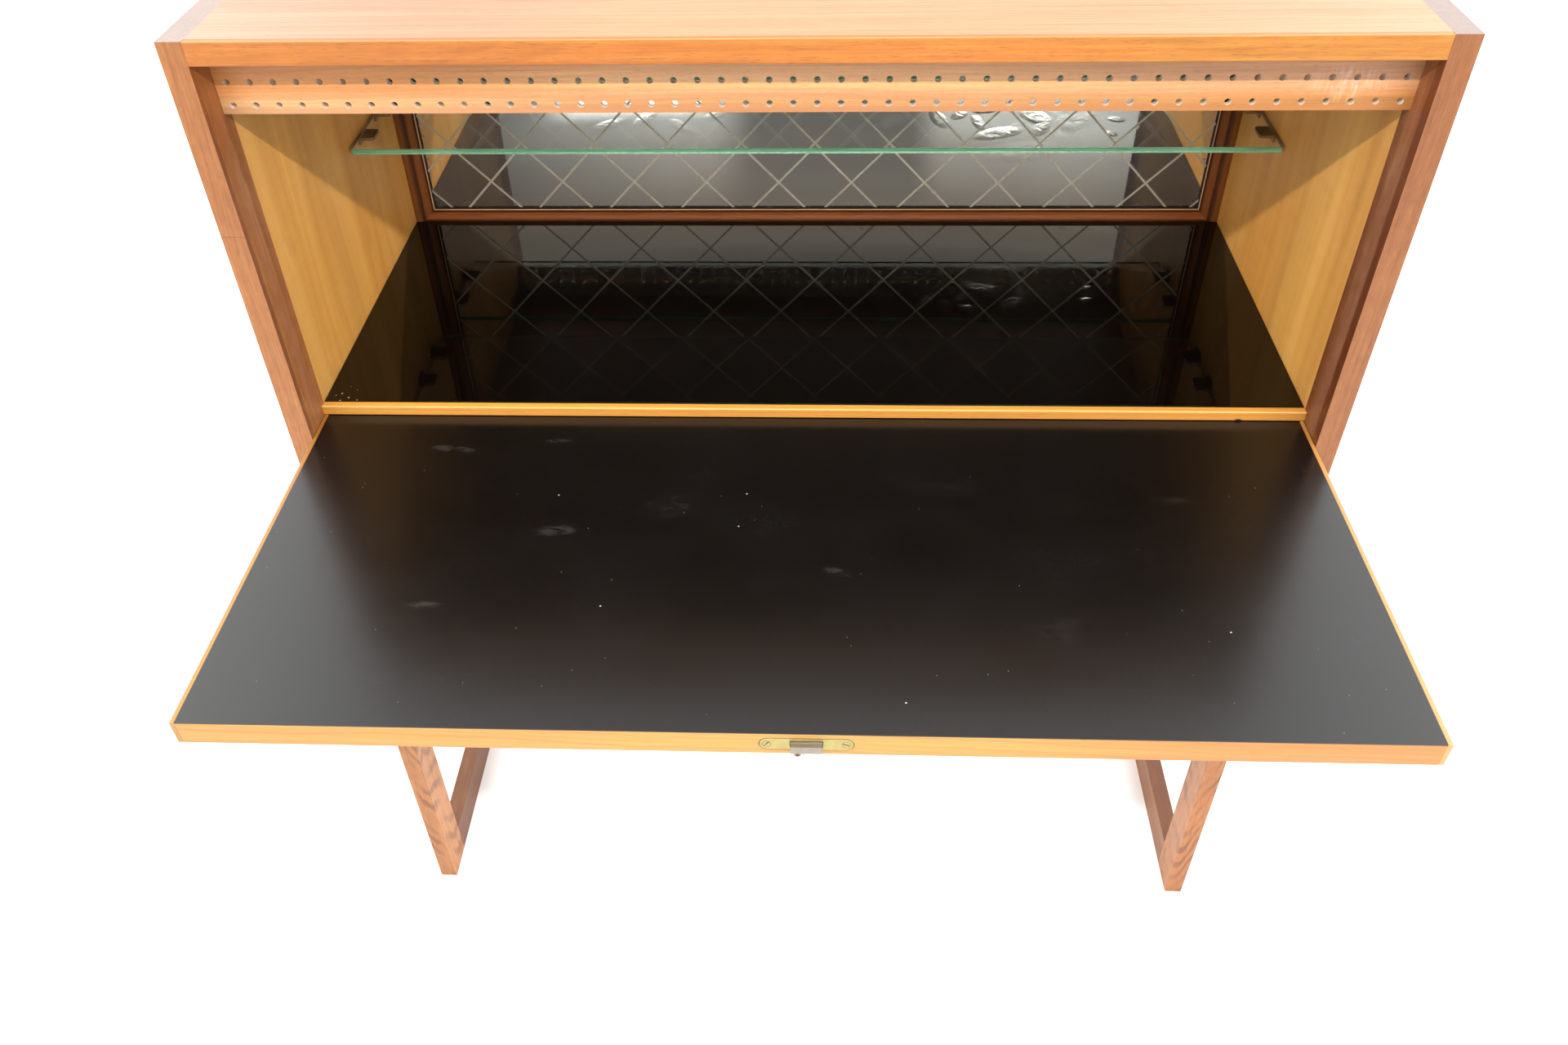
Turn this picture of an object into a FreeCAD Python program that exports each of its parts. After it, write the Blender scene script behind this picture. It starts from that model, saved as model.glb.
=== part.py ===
import FreeCAD, Part
import math
import os

os.makedirs("parts", exist_ok=True)

# Bar cabinet on sled sides with a drop flap, drawn open.
# Working axes: x across (0 = middle), y from the front plane of the posts
# towards the back, z up from the floor, millimetres.  Everything is moved
# by SHIFT_Y at the end so that the origin lies under the middle of the whole
# open cabinet.

# --- driving dimensions --------------------------------------------------
W = 1000.0          # outer width
H = 1147.0          # outer height
DEPTH = 440.0       # posts' front plane to posts' rear plane
SHIFT_Y = -42.5     # puts the origin under the middle of the open cabinet

POST_T = 21.0       # post and rail thickness across x
POST_D = 45.0       # post depth along y
RAIL_H = 47.0       # floor rail height
XI = W / 2 - POST_T # inner face of the sides

TOP_T = 19.5        # top board thickness
Z_TOP_UNDER = H - TOP_T
TOP_LIP = 5.0       # front lipping of the top

LINING_T = 4.0
LINING_REAR = 413.0

Z_FLAP = 760.0      # open flap, upper surface
FLAP_T = 23.5
FLAP_FRONT = -349.5 # free edge of the open flap
FLAP_TAIL = 52.0    # hidden rear edge under the lip
FLAP_HALF = 478.4
FLAP_SIDE_LIP = 4.2
FLAP_FRONT_LIP = 5.0
LAMINATE_T = 0.8
PIVOT_Y = 24.5
PIVOT_Z = 753.0
PIN_R = 2.5
PIN_LEN = 10.0
SOCKET_R = 4.0
SOCKET_BORE_R = 2.55

LIP_FRONT = 38.5    # lip in front of the black glass
LIP_D = 8.0
Z_FLOOR = 770.5     # black glass and lip, upper surface
LIP_UNDER = 760.6
GLASS_T = 5.0
BOARD_TOP = Z_FLOOR - GLASS_T
BOARD_T = 19.0
BOARD_FRONT = 54.0  # behind the sweep of the flap's tail
PANEL_BOTTOM = 725.0

VAL_Y = 32.0
VAL_T = 6.0
VAL_Z = 1075.0
HOLE_R = 2.8
HOLE_N = 50
HOLE_X0 = 469.1
HOLE_ROWS = (1101.7, 1082.2)

FRAME_Y = 413.0     # front of the mirror frame
FRAME_W = 22.3
FRAME_D = 17.5
MIRROR_Y = 427.5
MIRROR_T = 3.0
REBATE = 5.5
FRAME_Z0 = 759.6    # outer edge of the bottom member, let into the board
BACK_Y = 430.5
BACK_T = 6.0

SHELF_Y = 262.5
SHELF_REAR = 405.0
SHELF_Z = 929.2
SHELF_T = 6.0
SHELF_HALF = 475.5

LOCK_X = 6.7
KEY_X = -0.4
KEY_Y = -336.2
BOLT_HALF = 12.05
BOLT_Z0, BOLT_Z1 = 743.3, 750.5
BOLT_OUT = 5.5

PI = math.pi
V = FreeCAD.Vector


def box(x0, x1, y0, y1, z0, z1):
    return Part.makeBox(x1 - x0, y1 - y0, z1 - z0, V(x0, y0, z0))


def cyl(r, length, at, direction):
    return Part.makeCylinder(r, length, V(*at), V(*direction))


def cone(r0, r1, length, at, direction):
    return Part.makeCone(r0, r1, length, V(*at), V(*direction))


def mirror_x(shape):
    return shape.mirror(V(0, 0, 0), V(1, 0, 0))


def prism(points, direction):
    wire = Part.makePolygon([V(*p) for p in points] + [V(*points[0])])
    return Part.Face(wire).extrude(V(*direction))


nodes = {}


def put(name, shape):
    nodes[name] = shape


def cut(name, *tools):
    for tool in tools:
        nodes[name] = nodes[name].cut(tool)


def chamfer_long(shape, size, axis, min_length):
    """Small chamfer on the outer arrises that run along one axis."""
    edges = []
    for e in shape.Edges:
        if e.Length < min_length or len(e.Vertexes) != 2:
            continue
        d = e.Vertexes[1].Point - e.Vertexes[0].Point
        d.normalize()
        if abs(abs(d.dot(V(*axis))) - 1) < 1e-6:
            edges.append(e)
    return shape.makeChamfer(size, edges) if edges else shape


def screw(at, direction, head_r, shank_r, length, slot_dir):
    """Countersunk slotted screw, head face at `at`, pointing along direction."""
    head_l = head_r - shank_r
    body = cone(head_r, shank_r, head_l, at, direction)
    a = V(*at)
    d = V(*direction)
    p = a + d * head_l
    body = body.fuse(Part.makeCylinder(shank_r, length - head_l - 2, p, d))
    q = a + d * (length - 2)
    body = body.fuse(Part.makeCone(shank_r, 0.3, 2, q, d))
    s = V(*slot_dir)
    n = d.cross(s)
    w, depth, half = 0.45, 0.7, head_r * 1.2
    pts = [a - d * 0.5 + s * half + n * w, a - d * 0.5 - s * half + n * w,
           a - d * 0.5 - s * half - n * w, a - d * 0.5 + s * half - n * w]
    slot = Part.Face(Part.makePolygon(pts + [pts[0]])).extrude(d * (depth + 0.5))
    return body.cut(slot)


def screw_hole(at, direction, head_r, shank_r, length):
    """Room for that screw, 0.03 larger in radius."""
    c = 0.03
    head_l = head_r - shank_r
    a = V(*at)
    d = V(*direction)
    hole = Part.makeCone(head_r + c, shank_r + c, head_l, a, d)
    hole = hole.fuse(Part.makeCylinder(shank_r + c, length - head_l + 0.3, a + d * head_l, d))
    return hole


# --- sled sides ----------------------------------------------------------
post_front = box(XI, W / 2, 0, POST_D, 0, H)
post_rear = box(XI, W / 2, DEPTH - POST_D, DEPTH, 0, H)
# the lining runs on over the rear post as far as the mirror frame
post_rear = post_rear.cut(box(XI, XI + LINING_T, DEPTH - POST_D, LINING_REAR, BOARD_TOP, Z_TOP_UNDER))
rail = box(XI, W / 2, POST_D, DEPTH - POST_D, 0, RAIL_H)
panel = box(XI, W / 2, POST_D, DEPTH - POST_D, PANEL_BOTTOM, H)
panel = panel.cut(box(XI, XI + LINING_T, POST_D, DEPTH - POST_D, BOARD_TOP, Z_TOP_UNDER))
lining = box(XI, XI + LINING_T, POST_D, LINING_REAR, BOARD_TOP, Z_TOP_UNDER)

# seats for the shelf supports' pegs, and the spare slits 39 mm lower
SUPPORT_Y = ((293.0, 315.5), (352.0, 374.5))
for y0, y1 in SUPPORT_Y:
    ym = (y0 + y1) / 2
    peg_seat = cyl(2.5, 9.0, (XI, ym, SHELF_Z - 2.6), (1, 0, 0))
    lining = lining.cut(peg_seat)
    panel = panel.cut(peg_seat)
for ys in (298.0, 357.0):
    lining = lining.cut(box(XI - 1, XI + LINING_T + 1, ys - 0.7, ys + 0.7, 887.3, 892.5))

# pocket for the pivot plate, screw holes for it
PLATE_Y = (17.0, 32.0)
PLATE_Z = (727.0, 758.0)
PLATE_T = 2.0
post_front = post_front.cut(box(XI, XI + PLATE_T, PLATE_Y[0], PLATE_Y[1], PLATE_Z[0], PLATE_Z[1]))
PIVOT_SCREWS = (731.5, 744.5)
for z in PIVOT_SCREWS:
    post_front = post_front.cut(screw_hole((XI, PIVOT_Y, z), (1, 0, 0), 3.2, 1.6, 15))

pivot = box(XI, XI + PLATE_T, PLATE_Y[0], PLATE_Y[1], PLATE_Z[0], PLATE_Z[1])
for z in PIVOT_SCREWS:
    pivot = pivot.cut(screw_hole((XI, PIVOT_Y, z), (1, 0, 0), 3.2, 1.6, 15))
pivot = pivot.fuse(cyl(PIN_R, PIN_LEN + 1.0, (XI + 1.0, PIVOT_Y, PIVOT_Z), (-1, 0, 0))).removeSplitter()

for side, flip in (("right", lambda s: s), ("left", mirror_x)):
    put("side_post_front_" + side, flip(post_front))
    put("side_post_rear_" + side, flip(post_rear))
    put("floor_rail_" + side, flip(rail))
    put("side_panel_" + side, flip(panel))
    put("side_lining_" + side, flip(lining))
    put("flap_pivot_" + side, flip(pivot))

pivot_screws = []
for z in PIVOT_SCREWS:
    s = screw((XI, PIVOT_Y, z), (1, 0, 0), 3.2, 1.6, 15, (0, 1, 0))
    pivot_screws += [s, mirror_x(s)]
put("pivot_screws", Part.makeCompound(pivot_screws))

# --- top -----------------------------------------------------------------
put("top_front_lipping", box(-XI, XI, 0, TOP_LIP, Z_TOP_UNDER, H))
top = box(-XI, XI, TOP_LIP, DEPTH, Z_TOP_UNDER, H)
# seat of the strike plate and mortise for the bolt, which stands at BOLT_YC
# when the flap is closed
BOLT_YC = PIVOT_Y - (PIVOT_Z - (BOLT_Z0 + BOLT_Z1) / 2)
SP = (LOCK_X - 28, LOCK_X + 28, BOLT_YC - 6, BOLT_YC + 6, Z_TOP_UNDER, Z_TOP_UNDER + 1.5)
top = top.cut(box(*SP))
top = top.cut(box(LOCK_X - 12.9, LOCK_X + 12.9, BOLT_YC - 4.5, BOLT_YC + 4.5, Z_TOP_UNDER, Z_TOP_UNDER + 9))
strike = box(*SP)
strike = strike.makeFillet(3.0, [e for e in strike.Edges if abs(e.Length - 1.5) < 1e-6])
strike = strike.cut(box(LOCK_X - 12.6, LOCK_X + 12.6, BOLT_YC - 4.2, BOLT_YC + 4.2, Z_TOP_UNDER - 1, Z_TOP_UNDER + 3))
STRIKE_SCREWS = (LOCK_X - 21, LOCK_X + 21)
strike_screws = []
for x in STRIKE_SCREWS:
    at = (x, BOLT_YC, Z_TOP_UNDER)
    top = top.cut(screw_hole(at, (0, 0, 1), 2.8, 1.4, 13))
    strike = strike.cut(screw_hole(at, (0, 0, 1), 2.8, 1.4, 13))
    strike_screws.append(screw(at, (0, 0, 1), 2.8, 1.4, 13, (1, 0, 0)))
put("top_board", top)
put("strike_plate", strike)
put("strike_screws", Part.makeCompound(strike_screws))

# --- floor of the bar compartment ----------------------------------------
board = prism([(-XI, BOARD_FRONT, BOARD_TOP - BOARD_T), (-XI, BOARD_FRONT, LIP_UNDER),
               (-XI, LIP_FRONT + LIP_D, LIP_UNDER), (-XI, LIP_FRONT + LIP_D, BOARD_TOP),
               (-XI, FRAME_Y, BOARD_TOP), (-XI, FRAME_Y, FRAME_Z0), (-XI, BACK_Y, FRAME_Z0),
               (-XI, BACK_Y, BOARD_TOP - BOARD_T)], (2 * XI, 0, 0))
put("bottom_board", board)
lip = box(-XI, XI, LIP_FRONT, LIP_FRONT + LIP_D, LIP_UNDER, Z_FLOOR)
put("bottom_lip", lip)
put("black_glass", box(-XI + 0.6, XI - 0.6, LIP_FRONT + LIP_D + 0.2, FRAME_Y - 0.3, BOARD_TOP, Z_FLOOR))

# --- valance with two rows of holes --------------------------------------
val = box(-XI, XI, VAL_Y, VAL_Y + VAL_T, VAL_Z, Z_TOP_UNDER)
holes = []
for zr in HOLE_ROWS:
    for i in range(HOLE_N):
        x = -HOLE_X0 + 2 * HOLE_X0 * i / (HOLE_N - 1)
        holes.append(cyl(HOLE_R, VAL_T + 4, (x, VAL_Y - 2, zr), (0, 1, 0)))
val = val.cut(holes)
put("valance", val)

# --- mirror, its frame and the back --------------------------------------
ZF0, ZF1 = FRAME_Z0, Z_TOP_UNDER
# section of the moulding: (distance from the outer edge, depth behind the front)
# flat, cove, bead that slopes back, fine groove, thin lip at the mirror
cove = []
for i in range(7):
    a = PI / 2 * i / 6
    cove.append((6.1 + 4.6 * (1 - math.cos(a)), 0.5 + 4.3 * math.sin(a)))
bead = []
for i in range(10):
    a = PI / 2 * i / 9
    bead.append((11.5 + 7.9 * math.sin(a), 10.0 - 6.7 * math.cos(a)))
lip_edge = []
for i in range(6):
    a = PI / 2 * i / 5
    lip_edge.append((21.1 + 1.2 * math.sin(a), 10.9 - 1.2 * math.cos(a)))
section = ([(0, 0.5), (0.5, 0.0), (5.7, 0.0)] + cove + [(10.7, 4.3), (11.5, 3.6)] + bead
           + [(19.4, 11.0), (20.2, 11.0), (20.2, 9.9)] + lip_edge
           + [(FRAME_W, MIRROR_Y - FRAME_Y), (FRAME_W - REBATE, MIRROR_Y - FRAME_Y),
              (FRAME_W - REBATE, FRAME_D), (0, FRAME_D)])


def member(origin, inward, along, length):
    """Moulding of that section, mitred at 45 degrees at both ends."""
    o, n, t = V(*origin), V(*inward), V(*along)
    y = V(0, 1, 0)
    pts = [o + n * w + y * d for w, d in section]
    solid = Part.Face(Part.makePolygon(pts + [pts[0]])).extrude(t * length)
    big = 60.0
    for end, sign in ((o, 1), (o + t * length, -1)):
        # wedge outside the mitre plane through the corner
        a = end - y * 5
        tri = [a, a + n * big + t * (sign * big), a + n * big - t * (sign * big), a - t * (sign * big)]
        wedge = Part.Face(Part.makePolygon(tri + [tri[0]])).extrude(y * (FRAME_D + 20))
        solid = solid.cut(wedge)
    return solid


put("mirror_frame_bottom", member((-XI, FRAME_Y, ZF0), (0, 0, 1), (1, 0, 0), 2 * XI))
put("mirror_frame_top", member((-XI, FRAME_Y, ZF1), (0, 0, -1), (1, 0, 0), 2 * XI))
put("mirror_frame_left", member((-XI, FRAME_Y, ZF0), (1, 0, 0), (0, 0, 1), ZF1 - ZF0))
put("mirror_frame_right", member((XI, FRAME_Y, ZF0), (-1, 0, 0), (0, 0, 1), ZF1 - ZF0))

m = FRAME_W - REBATE + 0.3
put("mirror", box(-XI + m, XI - m, MIRROR_Y, MIRROR_Y + MIRROR_T, ZF0 + m, ZF1 - m))

back = box(-XI + 0.3, XI - 0.3, BACK_Y, BACK_Y + BACK_T, BOARD_TOP - BOARD_T, Z_TOP_UNDER)
back_screws = []
for z in (751.8, 1118.0):
    for x in (-440.0, -220.0, 0.0, 220.0, 440.0):
        length = 17 if z < 800 else 13
        at = (x, BACK_Y + BACK_T, z)
        hole = screw_hole(at, (0, -1, 0), 3.4, 1.7, length)
        back = back.cut(hole)
        target = "bottom_board" if z < 800 else "mirror_frame_top"
        cut(target, hole)
        back_screws.append(screw(at, (0, -1, 0), 3.4, 1.7, length, (1, 0, 0)))
put("back_panel", back)
put("back_screws", Part.makeCompound(back_screws))

# --- glass shelf and its supports ----------------------------------------
shelf = box(-SHELF_HALF, SHELF_HALF, SHELF_Y, SHELF_REAR, SHELF_Z, SHELF_Z + SHELF_T)
put("glass_shelf", shelf)
supports = []
for y0, y1 in SUPPORT_Y:
    ym = (y0 + y1) / 2
    plate = box(XI - 18.5, XI, y0, y1, SHELF_Z - 3.0, SHELF_Z)
    plate = plate.makeFillet(4.0, [e for e in plate.Edges
                                   if abs(e.Length - 3.0) < 1e-6 and e.CenterOfMass.x < XI - 10])
    heel = box(XI - 2.4, XI, y0 + 3, y1 - 3, SHELF_Z - 9.0, SHELF_Z - 3.0)
    peg = cyl(2.5, 8.5, (XI, ym, SHELF_Z - 2.6), (1, 0, 0))
    s = plate.fuse([heel, peg]).removeSplitter()
    supports += [s, mirror_x(s)]
put("shelf_supports", Part.makeCompound(supports))

# --- drop flap, open -----------------------------------------------------
Z_FLAP_UNDER = Z_FLAP - FLAP_T
XC = FLAP_HALF - FLAP_SIDE_LIP
YC = FLAP_FRONT + FLAP_FRONT_LIP
core = box(-XC, XC, YC, FLAP_TAIL, Z_FLAP_UNDER, Z_FLAP - LAMINATE_T)
laminate = box(-XC, XC, FLAP_FRONT, FLAP_TAIL, Z_FLAP - LAMINATE_T, Z_FLAP)
lip_front = box(-XC, XC, FLAP_FRONT, YC, Z_FLAP_UNDER, Z_FLAP - LAMINATE_T)
lip_side = box(XC, FLAP_HALF, FLAP_FRONT, FLAP_TAIL, Z_FLAP_UNDER, Z_FLAP)

# sockets that turn on the pins
socket = cyl(SOCKET_R, 10.8, (FLAP_HALF, PIVOT_Y, PIVOT_Z), (-1, 0, 0))
socket_room = socket.copy()
socket = socket.cut(cyl(SOCKET_BORE_R, 9.8, (FLAP_HALF, PIVOT_Y, PIVOT_Z), (-1, 0, 0)))
core = core.cut(socket_room).cut(mirror_x(socket_room))
lip_side = lip_side.cut(socket_room)
put("pivot_sockets", Part.makeCompound([socket, mirror_x(socket)]))

# lock: face plate sunk in the free edge, case behind it
PL_Y0, PL_Y1 = FLAP_FRONT + 0.3, FLAP_FRONT + 2.3
PL_Z0, PL_Z1 = 741.0, 753.9
PL_HALF = 35.3
PL_R = (PL_Z1 - PL_Z0) / 2
plate = box(LOCK_X - PL_HALF + PL_R, LOCK_X + PL_HALF - PL_R, FLAP_FRONT, PL_Y1, PL_Z0, PL_Z1)
for s in (-1, 1):
    plate = plate.fuse(cyl(PL_R, PL_Y1 - FLAP_FRONT,
                           (LOCK_X + s * (PL_HALF - PL_R), FLAP_FRONT, (PL_Z0 + PL_Z1) / 2), (0, 1, 0)))
plate = plate.removeSplitter()
plate_room = plate.copy()
plate = plate.cut(box(-100, 100, FLAP_FRONT - 1, PL_Y0, 700, 800))

CASE_HALF = 24.0
CASE = (LOCK_X - CASE_HALF, LOCK_X + CASE_HALF, PL_Y1, -320.5, 741.4, 753.3)
WALL = 1.0
case = box(*CASE)
case = case.cut(box(CASE[0] + WALL, CASE[1] - WALL, CASE[2] - 1, CASE[3] - WALL, CASE[4] + WALL, CASE[5] - WALL))
case_room = box(*CASE)

keyhole = cyl(2.3, 4.5, (KEY_X, KEY_Y, 734.5), (0, 0, 1)).fuse(
    box(KEY_X - 1.4, KEY_X + 1.4, KEY_Y - 6.0, KEY_Y, 734.5, 739.0))
keyhole_case = cyl(2.3, 3.0, (KEY_X, KEY_Y, 740.4), (0, 0, 1)).fuse(
    box(KEY_X - 1.4, KEY_X + 1.4, KEY_Y - 6.0, KEY_Y, 740.4, 743.0))
key_room = cyl(3.2, 6.2, (KEY_X, KEY_Y, 735.8), (0, 0, 1)).fuse(
    box(KEY_X - 2.0, KEY_X + 2.0, KEY_Y - 7.0, KEY_Y, 735.8, 742.0))
case = case.cut(keyhole_case)
core = core.cut(case_room).cut(key_room)
lip_front = lip_front.cut(plate_room).cut(case_room)

bolt_slot = box(LOCK_X - BOLT_HALF - 0.35, LOCK_X + BOLT_HALF + 0.35, FLAP_FRONT - 1, PL_Y1 + 1,
                BOLT_Z0 - 0.35, BOLT_Z1 + 0.35)
plate = plate.cut(bolt_slot)
LOCK_SCREWS = (LOCK_X - 30.1, LOCK_X + 30.1)
lock_screws = []
for x in LOCK_SCREWS:
    at = (x, PL_Y0, (PL_Z0 + PL_Z1) / 2)
    room = screw_hole(at, (0, 1, 0), 3.0, 1.5, 16)
    plate = plate.cut(room)
    core = core.cut(room)
    lip_front = lip_front.cut(room)
lock_screws = [screw((LOCK_SCREWS[0], PL_Y0, (PL_Z0 + PL_Z1) / 2), (0, 1, 0), 3.0, 1.5, 16, (0.6, 0, 0.8)),
               screw((LOCK_SCREWS[1], PL_Y0, (PL_Z0 + PL_Z1) / 2), (0, 1, 0), 3.0, 1.5, 16, (0.9, 0, -0.436))]

bolt = box(LOCK_X - BOLT_HALF, LOCK_X + BOLT_HALF, FLAP_FRONT - BOLT_OUT, -331.0, BOLT_Z0, BOLT_Z1)
# window the key works in
bolt = bolt.cut(box(KEY_X - 2.5, KEY_X + 6.2, KEY_Y - 8.0, KEY_Y + 2.5, BOLT_Z0 - 1, BOLT_Z1 + 1))

escutcheon = Part.Ellipse(V(0, 0, 0), 10.5, 7.0)
esc = Part.Face(Part.Wire([escutcheon.toShape()])).extrude(V(0, 0, 1.0))
esc.rotate(V(0, 0, 0), V(0, 0, 1), 90)
esc.translate(V(KEY_X, KEY_Y - 0.8, Z_FLAP_UNDER - 1.0))
esc = esc.cut(keyhole)

# key: stem, collar, bit, and a flat oval bow that faces the front
key = cyl(1.8, 750.9 - 730.4, (KEY_X, KEY_Y, 730.4), (0, 0, 1))
key = key.fuse(box(KEY_X - 0.9, KEY_X + 0.9, KEY_Y - 5.2, KEY_Y, 745.0, 749.5))
key = key.fuse(cyl(2.6, 1.6, (KEY_X, KEY_Y, 732.6), (0, 0, 1)))
bow_e = Part.Ellipse(V(0, 0, 0), 9.0, 6.0)
hole_e = Part.Ellipse(V(0, 0, 0), 6.2, 3.4)
bow = Part.Face(Part.Wire([bow_e.toShape()])).extrude(V(0, 0, 3.0))
bow = bow.cut(Part.Face(Part.Wire([hole_e.toShape()])).extrude(V(0, 0, 3.0)))
bow.rotate(V(0, 0, 0), V(0, 0, 1), 90)
bow.rotate(V(0, 0, 0), V(1, 0, 0), 90)
bow.translate(V(KEY_X, KEY_Y + 1.5, 723.5))
key = key.fuse(bow).removeSplitter()

put("flap_core", core)
put("flap_laminate", laminate)
put("flap_lipping_front", lip_front)
put("flap_lipping_right", lip_side)
put("flap_lipping_left", mirror_x(lip_side))
put("lock_plate", plate)
put("lock_case", case)
put("lock_screws", Part.makeCompound(lock_screws))
put("lock_bolt", bolt)
put("lock_key", key)
put("key_escutcheon", esc)

# --- write ---------------------------------------------------------------
for name, shape in nodes.items():
    s = shape.copy()
    s.translate(V(0, SHIFT_Y, 0))
    solids = s.Solids
    if not solids:
        raise SystemExit("no solid in " + name)
    for k in solids:
        if not k.isValid() or k.Volume < 1:
            raise SystemExit("bad solid in " + name)
    out = solids[0] if len(solids) == 1 else Part.makeCompound(solids)
    out.exportStep("parts/" + name + ".step")
    bb = s.BoundBox
    print("%-24s solids %3d vol %10.1f x[%.2f %.2f] y[%.2f %.2f] z[%.2f %.2f]" % (
        name, len(solids), s.Volume, bb.XMin, bb.XMax, bb.YMin, bb.YMax, bb.ZMin, bb.ZMax))
print(len(nodes), "nodes")
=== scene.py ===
import math

import bpy
from mathutils import Matrix, Vector


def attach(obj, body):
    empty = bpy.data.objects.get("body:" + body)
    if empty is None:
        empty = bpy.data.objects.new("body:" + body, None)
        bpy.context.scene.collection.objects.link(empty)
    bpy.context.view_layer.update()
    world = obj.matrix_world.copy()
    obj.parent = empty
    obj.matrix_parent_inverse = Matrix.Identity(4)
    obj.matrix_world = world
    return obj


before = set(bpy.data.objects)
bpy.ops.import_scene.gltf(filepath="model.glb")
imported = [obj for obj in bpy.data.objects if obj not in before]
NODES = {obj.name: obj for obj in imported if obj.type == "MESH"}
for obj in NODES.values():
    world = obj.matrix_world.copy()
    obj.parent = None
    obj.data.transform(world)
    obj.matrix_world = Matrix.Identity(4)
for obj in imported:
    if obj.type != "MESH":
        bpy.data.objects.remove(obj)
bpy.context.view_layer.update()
DY = -42.5          # mm, from the cabinet's own y (posts' front plane = 0) to the frame


# ---------------------------------------------------------------------------------------------
# small helper that writes node trees
# ---------------------------------------------------------------------------------------------
class Net:
    def __init__(self, name):
        self.mat = bpy.data.materials.new(name)
        self.mat.use_nodes = True
        self.t = self.mat.node_tree
        self.t.nodes.clear()
        self.out = self.t.nodes.new("ShaderNodeOutputMaterial")
        self.pos = None

    def put(self, socket, value):
        if isinstance(value, bpy.types.NodeSocket):
            self.t.links.new(value, socket)
        elif value is not None:
            if isinstance(value, (tuple, list)) and len(value) == 3 and len(getattr(socket, "default_value", (0,))) == 4:
                value = (*value, 1.0)
            socket.default_value = value

    def node(self, kind, **props):
        n = self.t.nodes.new(kind)
        for k, v in props.items():
            setattr(n, k, v)
        return n

    def math(self, op, a, b=None, c=None, clamp=False):
        n = self.node("ShaderNodeMath", operation=op, use_clamp=clamp)
        for s, v in zip(n.inputs, (a, b, c)):
            self.put(s, v)
        return n.outputs[0]

    def add(self, a, b): return self.math("ADD", a, b)
    def sub(self, a, b): return self.math("SUBTRACT", a, b)
    def mul(self, a, b): return self.math("MULTIPLY", a, b)
    def div(self, a, b): return self.math("DIVIDE", a, b)
    def mx(self, a, b): return self.math("MAXIMUM", a, b)
    def mn(self, a, b): return self.math("MINIMUM", a, b)
    def absf(self, a): return self.math("ABSOLUTE", a)

    def sat(self, a): return self.math("ADD", a, 0.0, clamp=True)

    def comb(self, x, y, z):
        n = self.node("ShaderNodeCombineXYZ")
        for s, v in zip(n.inputs, (x, y, z)):
            self.put(s, v)
        return n.outputs[0]

    def mm(self):
        """Object coordinates of this piece in millimetres, cabinet's own axes (y from the posts' front plane)."""
        if self.pos is None:
            tc = self.node("ShaderNodeTexCoord")
            n = self.node("ShaderNodeVectorMath", operation="MULTIPLY_ADD")
            self.put(n.inputs[0], tc.outputs["Object"])
            n.inputs[1].default_value = (1000, 1000, 1000)
            n.inputs[2].default_value = (0, -DY, 0)
            s = self.node("ShaderNodeSeparateXYZ")
            self.put(s.inputs[0], n.outputs[0])
            self.pos = (s.outputs[0], s.outputs[1], s.outputs[2])
        return self.pos

    def normal(self):
        tc = self.node("ShaderNodeTexCoord")
        s = self.node("ShaderNodeSeparateXYZ")
        self.put(s.inputs[0], tc.outputs["Normal"])
        return s.outputs[0], s.outputs[1], s.outputs[2]

    def noise(self, vec, scale=1.0, detail=2.0, rough=0.5, dist=0.0):
        n = self.node("ShaderNodeTexNoise", noise_dimensions="3D")
        self.put(n.inputs["Vector"], vec)
        n.inputs["Scale"].default_value = scale
        n.inputs["Detail"].default_value = detail
        n.inputs["Roughness"].default_value = rough
        n.inputs["Distortion"].default_value = dist
        return n.outputs[0]

    def cells(self, vec, scale=1.0, feature="F1", randomness=1.0):
        n = self.node("ShaderNodeTexVoronoi", feature=feature)
        self.put(n.inputs["Vector"], vec)
        n.inputs["Scale"].default_value = scale
        n.inputs["Randomness"].default_value = randomness
        return n.outputs["Distance"], n.outputs["Color"]

    def white(self, w):
        n = self.node("ShaderNodeTexWhiteNoise", noise_dimensions="1D")
        self.put(n.inputs["W"], w)
        return n.outputs["Value"]

    def rng(self, v, a, b, c=0.0, d=1.0, smooth=False):
        n = self.node("ShaderNodeMapRange", clamp=True)
        n.interpolation_type = "SMOOTHSTEP" if smooth else "LINEAR"
        for s, x in zip(n.inputs, (v, a, b, c, d)):
            self.put(s, x)
        return n.outputs[0]

    def ramp(self, fac, stops, mode="LINEAR"):
        n = self.node("ShaderNodeValToRGB")
        n.color_ramp.interpolation = mode
        e = n.color_ramp.elements
        while len(e) > 1:
            e.remove(e[0])
        e[0].position = stops[0][0]
        e[0].color = (*stops[0][1], 1.0)
        for p, c in stops[1:]:
            x = e.new(p)
            x.color = (*c, 1.0)
        self.put(n.inputs[0], fac)
        return n.outputs[0]

    def mix(self, fac, a, b, blend="MIX"):
        n = self.node("ShaderNodeMix", data_type="RGBA", blend_type=blend, clamp_factor=True)
        self.put(n.inputs[0], fac)
        self.put(n.inputs[6], a)
        self.put(n.inputs[7], b)
        return n.outputs[2]

    def mixf(self, fac, a, b):
        n = self.node("ShaderNodeMix", data_type="FLOAT", clamp_factor=True)
        self.put(n.inputs[0], fac)
        self.put(n.inputs[2], a)
        self.put(n.inputs[3], b)
        return n.outputs[0]

    def band(self, v, lo, hi, soft):
        """1 between lo and hi, falling to 0 over soft on either side."""
        return self.mul(self.rng(v, lo - soft, lo + soft, 0, 1, True), self.rng(v, hi - soft, hi + soft, 1, 0, True))

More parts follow.
